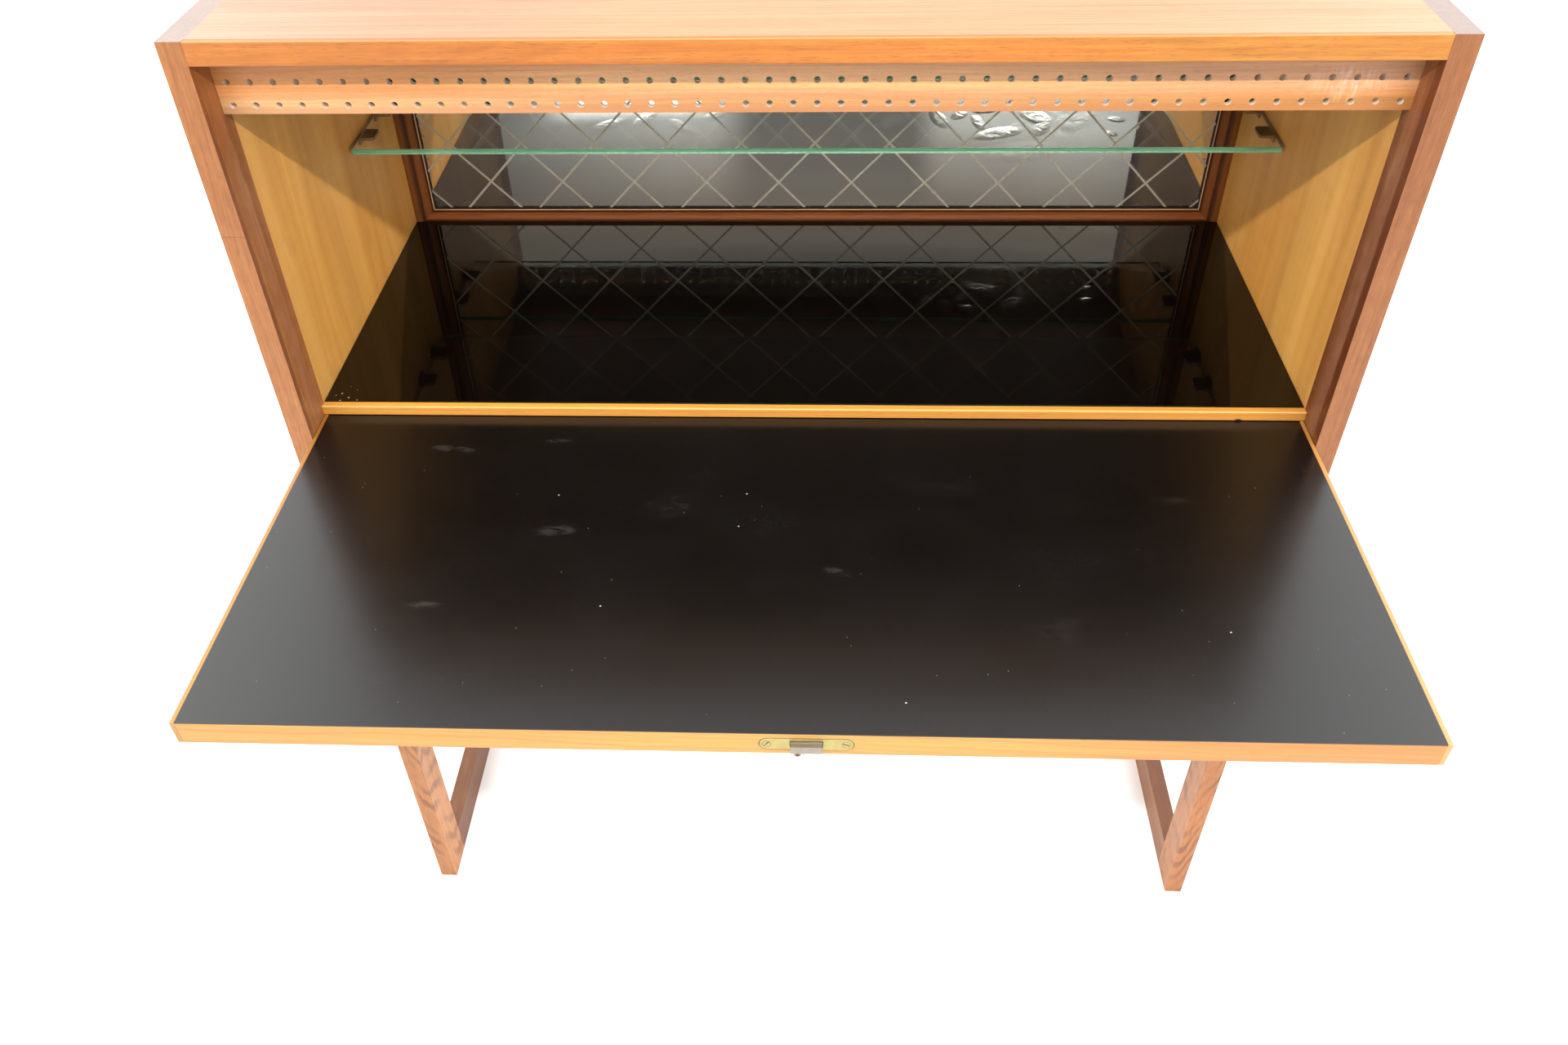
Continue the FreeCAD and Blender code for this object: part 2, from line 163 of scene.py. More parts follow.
    def spot(self, u, v, u0, v0, ru, rv, turn=0.0):
        """1 at (u0, v0), falling to 0 on the ellipse with half axes ru, rv."""
        a = self.sub(u, u0)
        b = self.sub(v, v0)
        if turn:
            c, s = math.cos(turn), math.sin(turn)
            a, b = self.add(self.mul(a, c), self.mul(b, s)), self.sub(self.mul(b, c), self.mul(a, s))
        a = self.div(a, ru)
        b = self.div(b, rv)
        d = self.math("SQRT", self.add(self.mul(a, a), self.mul(b, b)))
        return self.rng(d, 1.0, 0.15, 0, 1, True)

    def bump(self, height, strength, distance):
        n = self.node("ShaderNodeBump")
        n.inputs["Strength"].default_value = strength
        n.inputs["Distance"].default_value = distance
        self.put(n.inputs["Height"], height)
        return n.outputs[0]

    def surface(self, color, rough, normal=None, metallic=0.0, ior=1.5, spec=0.5, transmission=None,
                coat=0.0, coat_rough=0.1, aniso=0.0, sheen=0.0):
        p = self.node("ShaderNodeBsdfPrincipled")
        self.put(p.inputs["Base Color"], color)
        self.put(p.inputs["Roughness"], rough)
        self.put(p.inputs["Metallic"], metallic)
        p.inputs["IOR"].default_value = ior
        p.inputs["Specular IOR Level"].default_value = spec
        if transmission is not None:
            self.put(p.inputs["Transmission Weight"], transmission)
        if coat:
            self.put(p.inputs["Coat Weight"], coat)
            p.inputs["Coat Roughness"].default_value = coat_rough
        if aniso:
            p.inputs["Anisotropic"].default_value = aniso
        if sheen:
            p.inputs["Sheen Weight"].default_value = sheen
            p.inputs["Sheen Roughness"].default_value = 0.4
        if normal is not None:
            self.put(p.inputs["Normal"], normal)
        self.t.links.new(p.outputs[0], self.out.inputs["Surface"])
        return p


def dress(obj, mat):
    obj.data.materials.clear()
    obj.data.materials.append(mat)


def ease(obj, width=0.0006, segments=2, angle=35):
    """Slightly rounded arrises: joins the split corners of the mesh, then bevels the sharp edges."""
    w = obj.modifiers.new("join", "WELD")
    w.merge_threshold = 0.000005
    b = obj.modifiers.new("ease", "BEVEL")
    b.width = width
    b.segments = segments
    b.limit_method = "ANGLE"
    b.angle_limit = math.radians(angle)
    b.harden_normals = False
    b.use_clamp_overlap = True


# ---------------------------------------------------------------------------------------------
# wood
# ---------------------------------------------------------------------------------------------
TEAK = dict(light=(0.335, 0.142, 0.041), mid=(0.250, 0.097, 0.025), dark=(0.145, 0.048, 0.012))


def wood(name, axis, seed, pith=(260.0, 60.0), ringw=3.2, warp=9.0, slope=0.02, light=TEAK["light"],
         mid=TEAK["mid"], dark=TEAK["dark"], ring=0.55, streak=0.45, fibre=0.5, pore=0.55, rough=0.42,
         bump=0.25, coat=0.0, coat_rough=0.2, spec=0.38, extra=None, flame=None):
    g = Net(name)
    x, y, z = g.mm()
    u, v, w = {"x": (x, y, z), "y": (y, x, z), "z": (z, x, y)}[axis]
    off = (seed * 37.13 % 91, seed * 17.71 % 83, seed * 53.37 % 97)

    def stretched(lu, lv, detail=2.0, r=0.5, shift=0.0, dist=0.0):
        return g.noise(g.comb(g.add(g.div(u, lu), off[0] + shift), g.add(g.div(v, lv), off[1] + shift),
                              g.add(g.div(w, lv), off[2])), 1.0, detail, r, dist)

    broad = stretched(420.0, 75.0, 2.0)
    small = stretched(95.0, 22.0, 2.0, shift=3.7)
    dv = g.sub(v, pith[0])
    dw = g.sub(w, pith[1])
    r = g.math("SQRT", g.add(g.mul(dv, dv), g.mul(dw, dw)))
    r = g.add(r, g.mul(g.sub(broad, 0.5), 2.0 * warp))
    r = g.add(r, g.mul(g.sub(small, 0.5), 2.6))
    r = g.add(r, g.mul(u, slope))
    t = g.div(r, ringw)
    f = g.math("FRACT", t)
    which = g.math("FLOOR", t)
    rnd = g.white(g.add(which, seed * 7.31))
    prof = g.mul(g.math("POWER", g.rng(f, 0.02, 0.84), 1.7), g.rng(f, 0.86, 1.0, 1.0, 0.0))
    ringv = g.mul(prof, g.add(g.mul(rnd, 0.75), 0.25))
    fib = stretched(55.0, 0.75, 2.0, 0.6, 1.9)
    fib2 = stretched(190.0, 2.6, 2.0, 0.55, 5.1)
    stk = stretched(760.0, 17.0, 3.0, 0.55, 8.3)
    k = g.add(g.mul(g.sub(ringv, 0.28), ring), 0.46)
    k = g.add(k, g.mul(g.sub(stk, 0.5), streak * 1.7))
    k = g.add(k, g.mul(g.add(g.sub(fib, 0.5), g.sub(fib2, 0.5)), fibre))
    if flame is not None:
        period, lean, amount, lo, hi = flame
        fw = stretched(120.0, 30.0, 2.0, shift=6.1)
        ft = g.add(g.div(g.add(v, g.add(g.mul(u, lean), g.mul(w, 0.12))), period), g.mul(g.sub(fw, 0.5), 2.6))
        fs = g.math("SINE", g.mul(ft, 6.2832))
        fb = g.mul(g.rng(fs, -0.35, 0.95, 0, 1, True), g.rng(stretched(70.0, 40.0, 1.0, shift=9.4), 0.36, 0.60))
        k = g.add(k, g.mul(g.mul(fb, amount), g.rng(u, hi, lo)))
    col = g.ramp(k, [(0.0, light), (0.45, mid), (1.0, dark)])
    pores = g.rng(stretched(9.0, 0.42, 1.0, 0.5, 2.3), 0.60, 0.74)
    pores = g.mul(pores, g.add(g.mul(g.sub(1.0, prof), 0.6), 0.4))
    col = g.mix(g.mul(pores, pore), col, g.mix(1.0, col, (0.42, 0.36, 0.32), "MULTIPLY"))
    rgh = g.add(g.mul(g.sub(fib2, 0.5), 0.18), g.add(g.mul(g.sub(broad, 0.5), 0.12), rough))
    height = g.sub(g.mul(g.add(fib, fib2), 0.35), g.mul(pores, 0.8))
    if extra is not None:
        col, rgh, height = extra(g, x, y, z, col, rgh, height)
    nrm = g.bump(height, bump, 0.0002)
    g.surface(col, g.sat(rgh), nrm, coat=coat, coat_rough=coat_rough, spec=spec)
    return g.mat


def post_extra(side, joint):
    """Wear on the inner face where the flap's side rubs, and the fine line of a glued joint on the left post; also
    painted shade along the front of the inner faces, and painted light and shade by height on the front and inner faces
    and on the legs.
    """
    def fn(g, x, y, z, col, rgh, height):
        ax = g.absf(x)
        nx, ny, nz = g.normal()
        inner = g.rng(g.absf(nx), 0.6, 0.9)
        inner = g.mul(inner, g.rng(ax, 481.0, 480.0))
        above = g.rng(z, 748.0, 775.0)
        streaks = g.noise(g.comb(g.div(y, 1.8), g.div(z, 70.0), 3.1 + side), 1.0, 3.0, 0.6)
        patches = g.noise(g.comb(g.div(y, 14.0), g.div(z, 120.0), 7.7 + side), 1.0, 3.0, 0.6)
        mid_in = g.mul(inner, above)
        if side > 0:
            rub = g.mul(g.mul(g.band(y, 12.0, 34.0, 5.0), inner), above)
            rub = g.mul(rub, g.mul(g.rng(streaks, 0.26, 0.62, 0.45, 1.0), g.rng(patches, 0.30, 0.62, 0.35, 1.0)))
            col = g.mix(g.mul(rub, 0.36), col, (0.50, 0.31, 0.19))
            # painted shade: a dark band along the front of the inner face, next to the arris
            shade = g.mul(g.mul(g.band(y, -5.0, 12.0, 2.0), inner), above)
            col = g.mix(g.mul(shade, 0.56), col, (0.10, 0.026, 0.008))
        else:
            rub = g.mul(g.mul(g.band(y, 16.0, 31.0, 4.0), inner), above)
            rub = g.mul(rub, g.mul(g.rng(streaks, 0.36, 0.62), g.rng(patches, 0.30, 0.62)))
            col = g.mix(g.mul(rub, 0.12), col, (0.50, 0.33, 0.22))
            # painted shade: a dark band along the front of the inner face, next to the arris
            shade = g.mul(g.mul(g.band(y, -5.0, 6.5, 1.2), inner), above)
            col = g.mix(g.mul(shade, 0.52), col, (0.10, 0.030, 0.012))
        # the front face darkened towards the top: painted shade
        face = g.rng(ny, -0.6, -0.9)
        col = g.mix(g.mul(face, g.rng(z, 940.0, 1020.0, 0, 1, True)), col, g.mix(1.0, col, (0.83, 0.80, 0.80), "MULTIPLY"))
        mott = g.noise(g.comb(g.div(x, 5.0), g.div(y, 9.0), g.div(z, 16.0)), 1.0, 3.0, 0.6)
        col = g.mix(g.rng(mott, 0.36, 0.64, 0.0, 0.52), col, g.mix(1.0, col, (0.74, 0.62, 0.50), "MULTIPLY"))
        # the front face darkened slightly at mid height: painted shade
        mid_z = g.mul(g.rng(z, 690.0, 740.0), g.rng(z, 1030.0, 960.0))
        col = g.mix(g.mul(face, mid_z), col, g.mix(1.0, col, (0.92, 0.91, 0.93), "MULTIPLY"))
        # the inner face lightened or darkened by height: painted light and painted shade
        if side > 0:
            col = g.mix(g.mul(mid_in, g.rng(z, 1050.0, 1005.0)), col, g.mix(1.0, col, (0.79, 0.65, 0.66), "MULTIPLY"))
            col = g.mix(g.mul(mid_in, g.rng(z, 1020.0, 1060.0)), col, g.mix(1.0, col, (0.80, 0.61, 0.50), "MULTIPLY"))
        else:
            col = g.mix(g.mul(mid_in, g.rng(z, 1050.0, 1005.0)), col, g.mix(1.0, col, (1.20, 1.22, 1.60), "MULTIPLY"))
            col = g.mix(g.mul(mid_in, g.rng(z, 1020.0, 1060.0)), col, g.mix(1.0, col, (1.02, 0.86, 0.74), "MULTIPLY"))
        # the lower leg faces lightened and turned pinker: painted light from the bright floor
        painted_floor_light_legs = g.rng(z, 600.0, 540.0, 0, 1, True)
        if side > 0:
            col = g.mix(g.mul(face, painted_floor_light_legs), col, g.mix(1.0, col, (1.30, 1.32, 1.25), "MULTIPLY"))
        col = g.mix(g.mul(inner, painted_floor_light_legs), col, g.mix(1.0, col, (1.26, 1.36, 1.50), "MULTIPLY"))
        rgh = g.add(rgh, g.mul(rub, 0.12))
        end = g.mul(g.rng(z, 1146.0, 1146.6), g.rng(nz, 0.6, 0.9))
        col = g.mix(g.mul(end, 0.80), col, (0.136, 0.115, 0.108))
        if joint:
            line = g.mul(g.band(z, 978.75, 979.35, 0.25), g.rng(y, 3.0, 1.0))
            col = g.mix(g.mul(line, 0.75), col, (0.07, 0.025, 0.012))
            height = g.sub(height, g.mul(line, 2.0))
        return col, rgh, height
    return fn


def panel_extra(g, x, y, z, col, rgh, height):
    """Narrow top edge of the side, a little duller than its faces."""
    nx, ny, nz = g.normal()
    end = g.mul(g.rng(z, 1146.0, 1146.6), g.rng(nz, 0.6, 0.9))
    return g.mix(g.mul(end, 0.80), col, (0.136, 0.115, 0.108)), rgh, height


def rail_extra(g, x, y, z, col, rgh, height):
    """Upper face of the floor rail darkened in noisy patches: painted shadow of the flap and cabinet above; inner faces
    darkened too, the left one most: painted shade.
    """
    nx, ny, nz = g.normal()
    n = g.noise(g.comb(g.div(x, 14.0), g.div(y, 60.0), 2.0), 1.0, 3.0, 0.6)
    # painted shadow on the upper face, cast by the flap and cabinet above
    top = g.mul(g.rng(nz, 0.6, 0.9), g.rng(n, 0.2, 0.5, 0.62, 0.86))
    col = g.mix(top, col, (0.076, 0.024, 0.008))
    # painted shade on the inner faces, strongest on the left rail
    painted_inner_shade = g.mul(g.rng(g.absf(nx), 0.6, 0.9), g.rng(g.absf(x), 481.0, 480.0))
    col = g.mix(painted_inner_shade, col, g.mix(1.0, col, (0.80, 0.78, 0.78), "MULTIPLY"))
    painted_inner_shade = g.mul(painted_inner_shade, g.rng(x, 0.0, -1.0))
    return g.mix(painted_inner_shade, col, g.mix(1.0, col, (0.44, 0.36, 0.32), "MULTIPLY")), rgh, height


def valance_extra(g, x, y, z, col, rgh, height):
    """Pale scuffs at the right end, painted shade on the upper band under the top board, and a near-white back and
    underside that are partly painted light.
    """
    s1 = g.noise(g.comb(g.div(x, 2.6), g.div(z, 30.0), 1.3), 1.0, 3.0, 0.65, 0.6)
    s2 = g.noise(g.comb(g.div(x, 16.0), g.div(z, 12.0), 4.1), 1.0, 3.0, 0.6)
    zone = g.spot(x, z, 424.0, 1095.0, 46.0, 20.0)
    front = g.rng(y, 32.6, 32.2)
    scuff = g.mul(g.mul(zone, front), g.mul(g.rng(s1, 0.44, 0.66), g.rng(s2, 0.38, 0.62)))
    col = g.mix(g.mul(scuff, 0.58), col, (0.68, 0.53, 0.42))
    low = g.rng(z, 1084.0, 1078.5, 0, 1, True)
    col = g.mix(g.mul(low, 0.60), col, (0.335, 0.135, 0.058))
    col = g.mix(g.rng(z, 1084.0, 1092.0), col, g.mix(1.0, col, (1.10, 1.13, 1.15), "MULTIPLY"))
    far = g.rng(g.absf(x), 110.0, 330.0, 0, 1, True)
    far = g.mul(far, g.rng(z, 1086.0, 1096.0))
    col = g.mix(g.mul(far, g.rng(x, 0.0, -1.0)), col, g.mix(1.0, col, (0.80, 0.62, 0.42), "MULTIPLY"))
    col = g.mix(g.mul(far, g.rng(x, -1.0, 0.0)), col, g.mix(1.0, col, (0.83, 0.78, 0.82), "MULTIPLY"))
    # the band above the upper row of holes darkened: painted shade under the top board
    col = g.mix(g.rng(z, 1098.0, 1088.0), col, g.mix(1.0, col, (0.92, 0.79, 0.78), "MULTIPLY"))
    col = g.mix(g.mul(g.rng(z, 1096.0, 1086.0), g.rng(x, -330.0, -160.0)), col, g.mix(1.0, col, (0.96, 0.88, 1.04), "MULTIPLY"))
    col = g.mix(g.mul(g.rng(x, 160.0, 380.0), g.rng(z, 1096.0, 1086.0)), col, g.mix(1.0, col, (0.95, 0.84, 0.60), "MULTIPLY"))
    base = g.rng(z, 1090.0, 1084.0)
    col = g.mix(base, col, g.mix(1.0, col, (0.93, 1.13, 0.86), "MULTIPLY"))
    col = g.mix(g.mul(base, g.rng(x, -150.0, -330.0)), col, g.mix(1.0, col, (1.03, 1.10, 1.55), "MULTIPLY"))
    col = g.mix(g.mul(base, g.rng(x, 150.0, 330.0)), col, g.mix(1.0, col, (0.94, 0.95, 0.84), "MULTIPLY"))
    col = g.mix(g.mul(g.rng(z, 1098.0, 1102.0), g.rng(x, -330.0, -100.0)), col, g.mix(1.0, col, (0.90, 0.90, 1.04), "MULTIPLY"))
    # the top of the valance darkened and reddened: painted shadow of the top board
    col = g.mix(g.mul(g.rng(z, 1108.0, 1124.0, 0, 1, True), 0.5), col, (0.30, 0.110, 0.026))
    nx, ny, nz = g.normal()
    wall = g.mul(g.mul(g.rng(g.absf(ny), 0.6, 0.3), g.rng(z, 1077.0, 1078.5)), g.rng(z, 1107.0, 1105.5))
    col = g.mix(wall, col, (0.56, 0.44, 0.34))
    # rear face and underside near white: partly raw wood colour, partly painted light
    pale_back_and_painted_light = g.mx(g.rng(y, 37.2, 37.8), g.mul(g.rng(nz, -0.6, -0.9), g.rng(z, 1076.0, 1075.0)))
    col = g.mix(pale_back_and_painted_light, col, (0.88, 0.86, 0.82))
    return col, rgh, height


def lip_extra(g, x, y, z, col, rgh, height):
    """Painted highlight along the upper front arris, a top face brightened as painted light, and the small dark chip
    near the right end.
    """
    # painted highlight along the upper front arris
    arris = g.mul(g.band(z, 769.4, 770.6, 0.5), g.rng(y, 41.0, 38.6))
    col = g.mix(g.mul(arris, 0.55), col, (0.66, 0.40, 0.17))
    chip = g.mul(g.spot(x, z, 416.0, 761.2, 5.2, 2.0), g.rng(y, 39.4, 38.8))
    col = g.mix(g.rng(chip, 0.25, 0.6), col, (0.035, 0.014, 0.008))
    nx, ny, nz = g.normal()
    # the up-facing top face brightened: painted light
    col = g.mix(g.mul(g.rng(nz, 0.6, 0.9), g.rng(z, 770.2, 770.45)), col, g.mix(1.0, col, (1.32, 1.38, 1.30), "MULTIPLY"))
    groove = g.band(z, 766.4, 766.9, 0.3)
    col = g.mix(g.mul(groove, 0.35), col, (0.16, 0.07, 0.03))
    height = g.sub(height, g.mul(chip, 4.0))
    return col, rgh, height


def side_lipping_extra(g, x, y, z, col, rgh, height):
    """Fine dark glue line beside the laminate."""
    col = g.mix(g.rng(y, -150.0, 20.0, 0, 0.75, True), col, (0.36, 0.145, 0.030))
    col = g.mix(g.rng(x, 0.0, -1.0), col, g.mix(1.0, col, (0.74, 0.68, 0.50), "MULTIPLY"))
    line = g.mul(g.rng(g.absf(x), 474.9, 474.5), g.rng(z, 759.0, 759.4))
    col = g.mix(g.mul(line, 0.7), col, (0.06, 0.028, 0.012))
    return col, rgh, height


def top_extra(g, x, y, z, col, rgh, height):
    """Slightly darker figure towards the left end."""
    col = g.mix(g.rng(x, -120.0, -300.0, 0, 1, True), col, g.mix(1.0, col, (0.97, 0.86, 0.94), "MULTIPLY"))
    return col, rgh, height


def top_lipping_extra(g, x, y, z, col, rgh, height):
    """Thin light arris along the upper edge, slightly mottled face."""
    mott = g.noise(g.comb(g.div(x, 34.0), g.div(y, 6.0), g.div(z, 6.0)), 1.0, 3.0, 0.6)
    col = g.mix(g.rng(mott, 0.36, 0.66, 0.0, 0.35), col, g.mix(1.0, col, (0.74, 0.68, 0.60), "MULTIPLY"))
    col = g.mix(g.rng(x, -120.0, -330.0, 0, 1, True), col, g.mix(1.0, col, (0.86, 0.86, 0.92), "MULTIPLY"))
    col = g.mix(g.rng(x, 120.0, 330.0, 0, 1, True), col, g.mix(1.0, col, (0.95, 1.12, 1.0), "MULTIPLY"))
    arris = g.mul(g.rng(z, 1145.9, 1146.5), g.rng(y, 1.0, 0.4))
    col = g.mix(g.mul(arris, 0.3), col, (0.50, 0.27, 0.11))
    return col, rgh, height


def lipping_extra(g, x, y, z, col, rgh, height):
    """Front edge of the flap: slightly darker lower part, a painted shadow round the lock plate, handled marks round
    the lock.
    """
    low = g.rng(z, 743.0, 736.5)
    col = g.mix(g.mul(low, 0.25), col, (0.26, 0.10, 0.04))
    col = g.mix(g.rng(g.absf(x), 260.0, 90.0, 0, 1, True), col, g.mix(1.0, col, (1.0, 1.12, 1.15), "MULTIPLY"))
    col = g.mix(g.rng(x, 150.0, 330.0, 0, 1, True), col, g.mix(1.0, col, (0.90, 0.86, 0.98), "MULTIPLY"))
    # painted shadow: a dark outline round the lock plate, strongest along its upper edge
    qx = g.mx(g.sub(g.absf(g.sub(x, 6.7)), 28.85), 0.0)
    qz = g.sub(z, 747.45)
    ring = g.band(g.math("SQRT", g.add(g.mul(qx, qx), g.mul(qz, qz))), 6.45, 7.55, 0.3)
    col = g.mix(g.mul(ring, g.rng(qz, -4.0, 2.0, 0.25, 0.95)), col, (0.050, 0.020, 0.006))
    grime = g.spot(x, z, 6.7, 748.0, 70.0, 16.0)
    nz = g.noise(g.comb(g.div(x, 9.0), g.div(z, 5.0), 2.0), 1.0, 3.0, 0.6)
    col = g.mix(g.mul(g.mul(grime, g.rng(nz, 0.35, 0.7)), 0.35), col, (0.30, 0.15, 0.07))
    return col, rgh, height


PEACH = dict(light=(0.47, 0.255, 0.105), mid=(0.37, 0.185, 0.070), dark=(0.24, 0.100, 0.036))
ORANGE = dict(light=(0.365, 0.131, 0.017), mid=(0.288, 0.091, 0.010), dark=(0.175, 0.048, 0.006))
PALE = dict(light=(0.425, 0.208, 0.044), mid=(0.345, 0.148, 0.027), dark=(0.22, 0.084, 0.015))
CREAM = dict(light=(0.375, 0.225, 0.088), mid=(0.315, 0.178, 0.062), dark=(0.21, 0.105, 0.032))

for side, sign in (("left", -1), ("right", 1)):
    tone = dict(TEAK) if sign < 0 else dict(light=(0.270, 0.106, 0.030), mid=(0.198, 0.072, 0.019), dark=(0.118, 0.038, 0.010))
    o = NODES[f"side_post_front_{side}"]
    dress(o, wood(f"teak_post_front_{side}", "z", 3 + sign, pith=(sign * 560.0, -34.0), ringw=2.7, warp=16.0, slope=0.035 * sign,
                  extra=post_extra(sign, sign < 0), ring=0.22, streak=0.62, rough=0.42, flame=(13.0, -0.36 * sign, 0.62, 560.0, 700.0), **tone))
    ease(o, 0.0007)
    o = NODES[f"side_post_rear_{side}"]
    dress(o, wood(f"teak_post_rear_{side}", "z", 11 + sign, pith=(sign * 545.0, 380.0), ringw=3.1, warp=13.0, slope=-0.03, ring=0.3, streak=0.6, **tone))
    ease(o, 0.0007)
    o = NODES[f"floor_rail_{side}"]
    dress(o, wood(f"teak_rail_{side}", "y", 17 + sign, pith=(sign * 540.0, -30.0), ringw=3.0, warp=11.0, slope=0.03, ring=0.3, streak=0.5, extra=rail_extra, **tone))
    ease(o, 0.0007)
    o = NODES[f"side_panel_{side}"]
    dress(o, wood(f"teak_panel_{side}", "z", 23 + sign, pith=(sign * 620.0, 210.0), ringw=4.6, warp=30.0, slope=0.05, ring=0.6, streak=0.5, extra=panel_extra, **tone))
    ease(o, 0.0004)

TOP = dict(light=(0.40, 0.185, 0.082), mid=(0.315, 0.134, 0.056), dark=(0.20, 0.078, 0.032))
dress(NODES["top_board"], wood("teak_top", "x", 31, pith=(300.0, 980.0), ringw=3.6, warp=20.0, slope=0.012, ring=0.42, streak=0.30, rough=0.36, extra=top_extra, **TOP))
dress(NODES["top_front_lipping"], wood("teak_top_lipping", "x", 37, pith=(-70.0, 1150.0), ringw=2.5, warp=9.0, slope=0.018, ring=0.14, streak=0.50, fibre=0.75, pore=0.8, extra=top_lipping_extra, **ORANGE))
dress(NODES["bottom_board"], wood("teak_bottom", "x", 41, pith=(240.0, 640.0), ringw=4.2, warp=24.0, slope=0.01))
dress(NODES["bottom_lip"], wood("teak_lip", "x", 43, pith=(0.0, 700.0), ringw=2.1, warp=6.0, slope=0.006, ring=0.35, streak=0.25, fibre=0.35,
                                extra=lip_extra, light=(0.50, 0.235, 0.044), mid=(0.395, 0.168, 0.028), dark=(0.24, 0.090, 0.016)))
dress(NODES["valance"], wood("teak_valance", "x", 47, pith=(-60.0, 1210.0), ringw=2.6, warp=12.0, slope=0.012, ring=0.22, streak=0.45, fibre=0.7, pore=0.7,
                             extra=valance_extra, **PEACH))
dress(NODES["flap_core"], wood("teak_flap", "x", 53, pith=(-150.0, 600.0), ringw=4.4, warp=34.0, slope=0.012, ring=0.6, streak=0.45, **TEAK))
dress(NODES["flap_lipping_front"], wood("teak_flap_front", "x", 59, pith=(-460.0, 700.0), ringw=2.4, warp=7.0, slope=0.012, ring=0.34, streak=0.28, fibre=0.35,
                                        extra=lipping_extra, **PALE))
for side, sd in (("left", 61), ("right", 67)):
    dress(NODES[f"flap_lipping_{side}"], wood(f"teak_flap_{side}", "y", sd, pith=(0.0, 690.0), ringw=2.4, warp=6.0, ring=0.3, streak=0.3, fibre=0.35, extra=side_lipping_extra, **CREAM))
for n in ("top_board", "top_front_lipping", "bottom_lip", "flap_lipping_front", "flap_lipping_left", "flap_lipping_right", "flap_core"):
    ease(NODES[n], 0.0005)
ease(NODES["bottom_board"], 0.0004)


def lining(name, seed):
    """Lacquered maple veneer: broad soft vertical bands, faint cross ripple, few marks; painted shade at the front
    strip and painted light towards the rear.
    """
    g = Net(name)
    x, y, z = g.mm()
    o = seed * 3.17
    lean = g.add(y, g.mul(g.noise(g.comb(o, g.div(y, 90.0), g.div(z, 260.0)), 1.0, 2.0, 0.5), 36.0))
    wide = g.noise(g.comb(g.add(g.div(lean, 46.0), o), g.div(z, 900.0), 1.7), 1.0, 2.0, 0.5)
    mid = g.noise(g.comb(g.add(g.div(lean, 15.0), o), g.div(z, 520.0), 5.3), 1.0, 2.0, 0.55)
    fine = g.noise(g.comb(g.add(g.div(lean, 2.6), o), g.div(z, 210.0), 9.1), 1.0, 2.0, 0.6)
    hair = g.noise(g.comb(g.add(g.div(y, 0.7), o), g.div(z, 60.0), 2.9), 1.0, 2.0, 0.6)
    ripple = g.noise(g.comb(g.div(y, 34.0), g.add(g.div(z, 8.0), g.div(y, 60.0)), o), 1.0, 2.0, 0.5)
    k = g.add(0.5, g.mul(g.sub(wide, 0.5), 1.15))
    k = g.add(k, g.mul(g.sub(mid, 0.5), 0.62))
    k = g.add(k, g.mul(g.sub(fine, 0.5), 0.24))
    k = g.add(k, g.mul(g.sub(hair, 0.5), 0.12))
    k = g.add(k, g.mul(g.sub(ripple, 0.5), 0.22))
    col = g.ramp(k, [(0.12, (0.765, 0.415, 0.105)), (0.5, (0.665, 0.325, 0.071)), (0.9, (0.530, 0.232, 0.043))])
    marks = g.noise(g.comb(g.div(y, 30.0), g.div(z, 45.0), g.div(x, 90.0)), 1.0, 4.0, 0.6)
    col = g.mix(g.rng(marks, 0.58, 0.82, 0.0, 0.20), col, (0.33, 0.15, 0.04))
    low = g.mul(g.rng(z, 790.0, 771.0), g.rng(marks, 0.35, 0.65, 0.2, 0.8))
    col = g.mix(g.mul(low, 0.22), col, (0.30, 0.13, 0.04))
    # the front strip darkened: painted shade
    col = g.mix(g.rng(y, 110.0, 60.0, 0, 1, True), col, g.mix(1.0, col, (0.84, 0.84, 0.90), "MULTIPLY"))
    # the rear part lightened: painted light in the shaded area
    col = g.mix(g.rng(y, 170.0, 250.0, 0, 1, True), col, g.mix(1.0, col, (1.14, 1.08, 0.97), "MULTIPLY"))
    d, c = g.cells(g.comb(g.div(y, 34.0), g.div(z, 34.0), g.div(x, 34.0)))
    nick = g.rng(d, 0.030, 0.016)
    col = g.mix(g.mul(nick, 0.45), col, (0.82, 0.66, 0.42))
    rgh = g.add(0.40, g.add(g.mul(g.sub(marks, 0.5), 0.20), g.mul(g.sub(fine, 0.5), 0.06)))
    nrm = g.bump(g.add(g.mul(hair, 0.5), g.mul(ripple, 0.8)), 0.08, 0.0002)
    g.surface(col, rgh, nrm, spec=0.45)
    return g.mat


for side, sd in (("left", 71), ("right", 73)):
    dress(NODES[f"side_lining_{side}"], lining(f"maple_lining_{side}", sd))


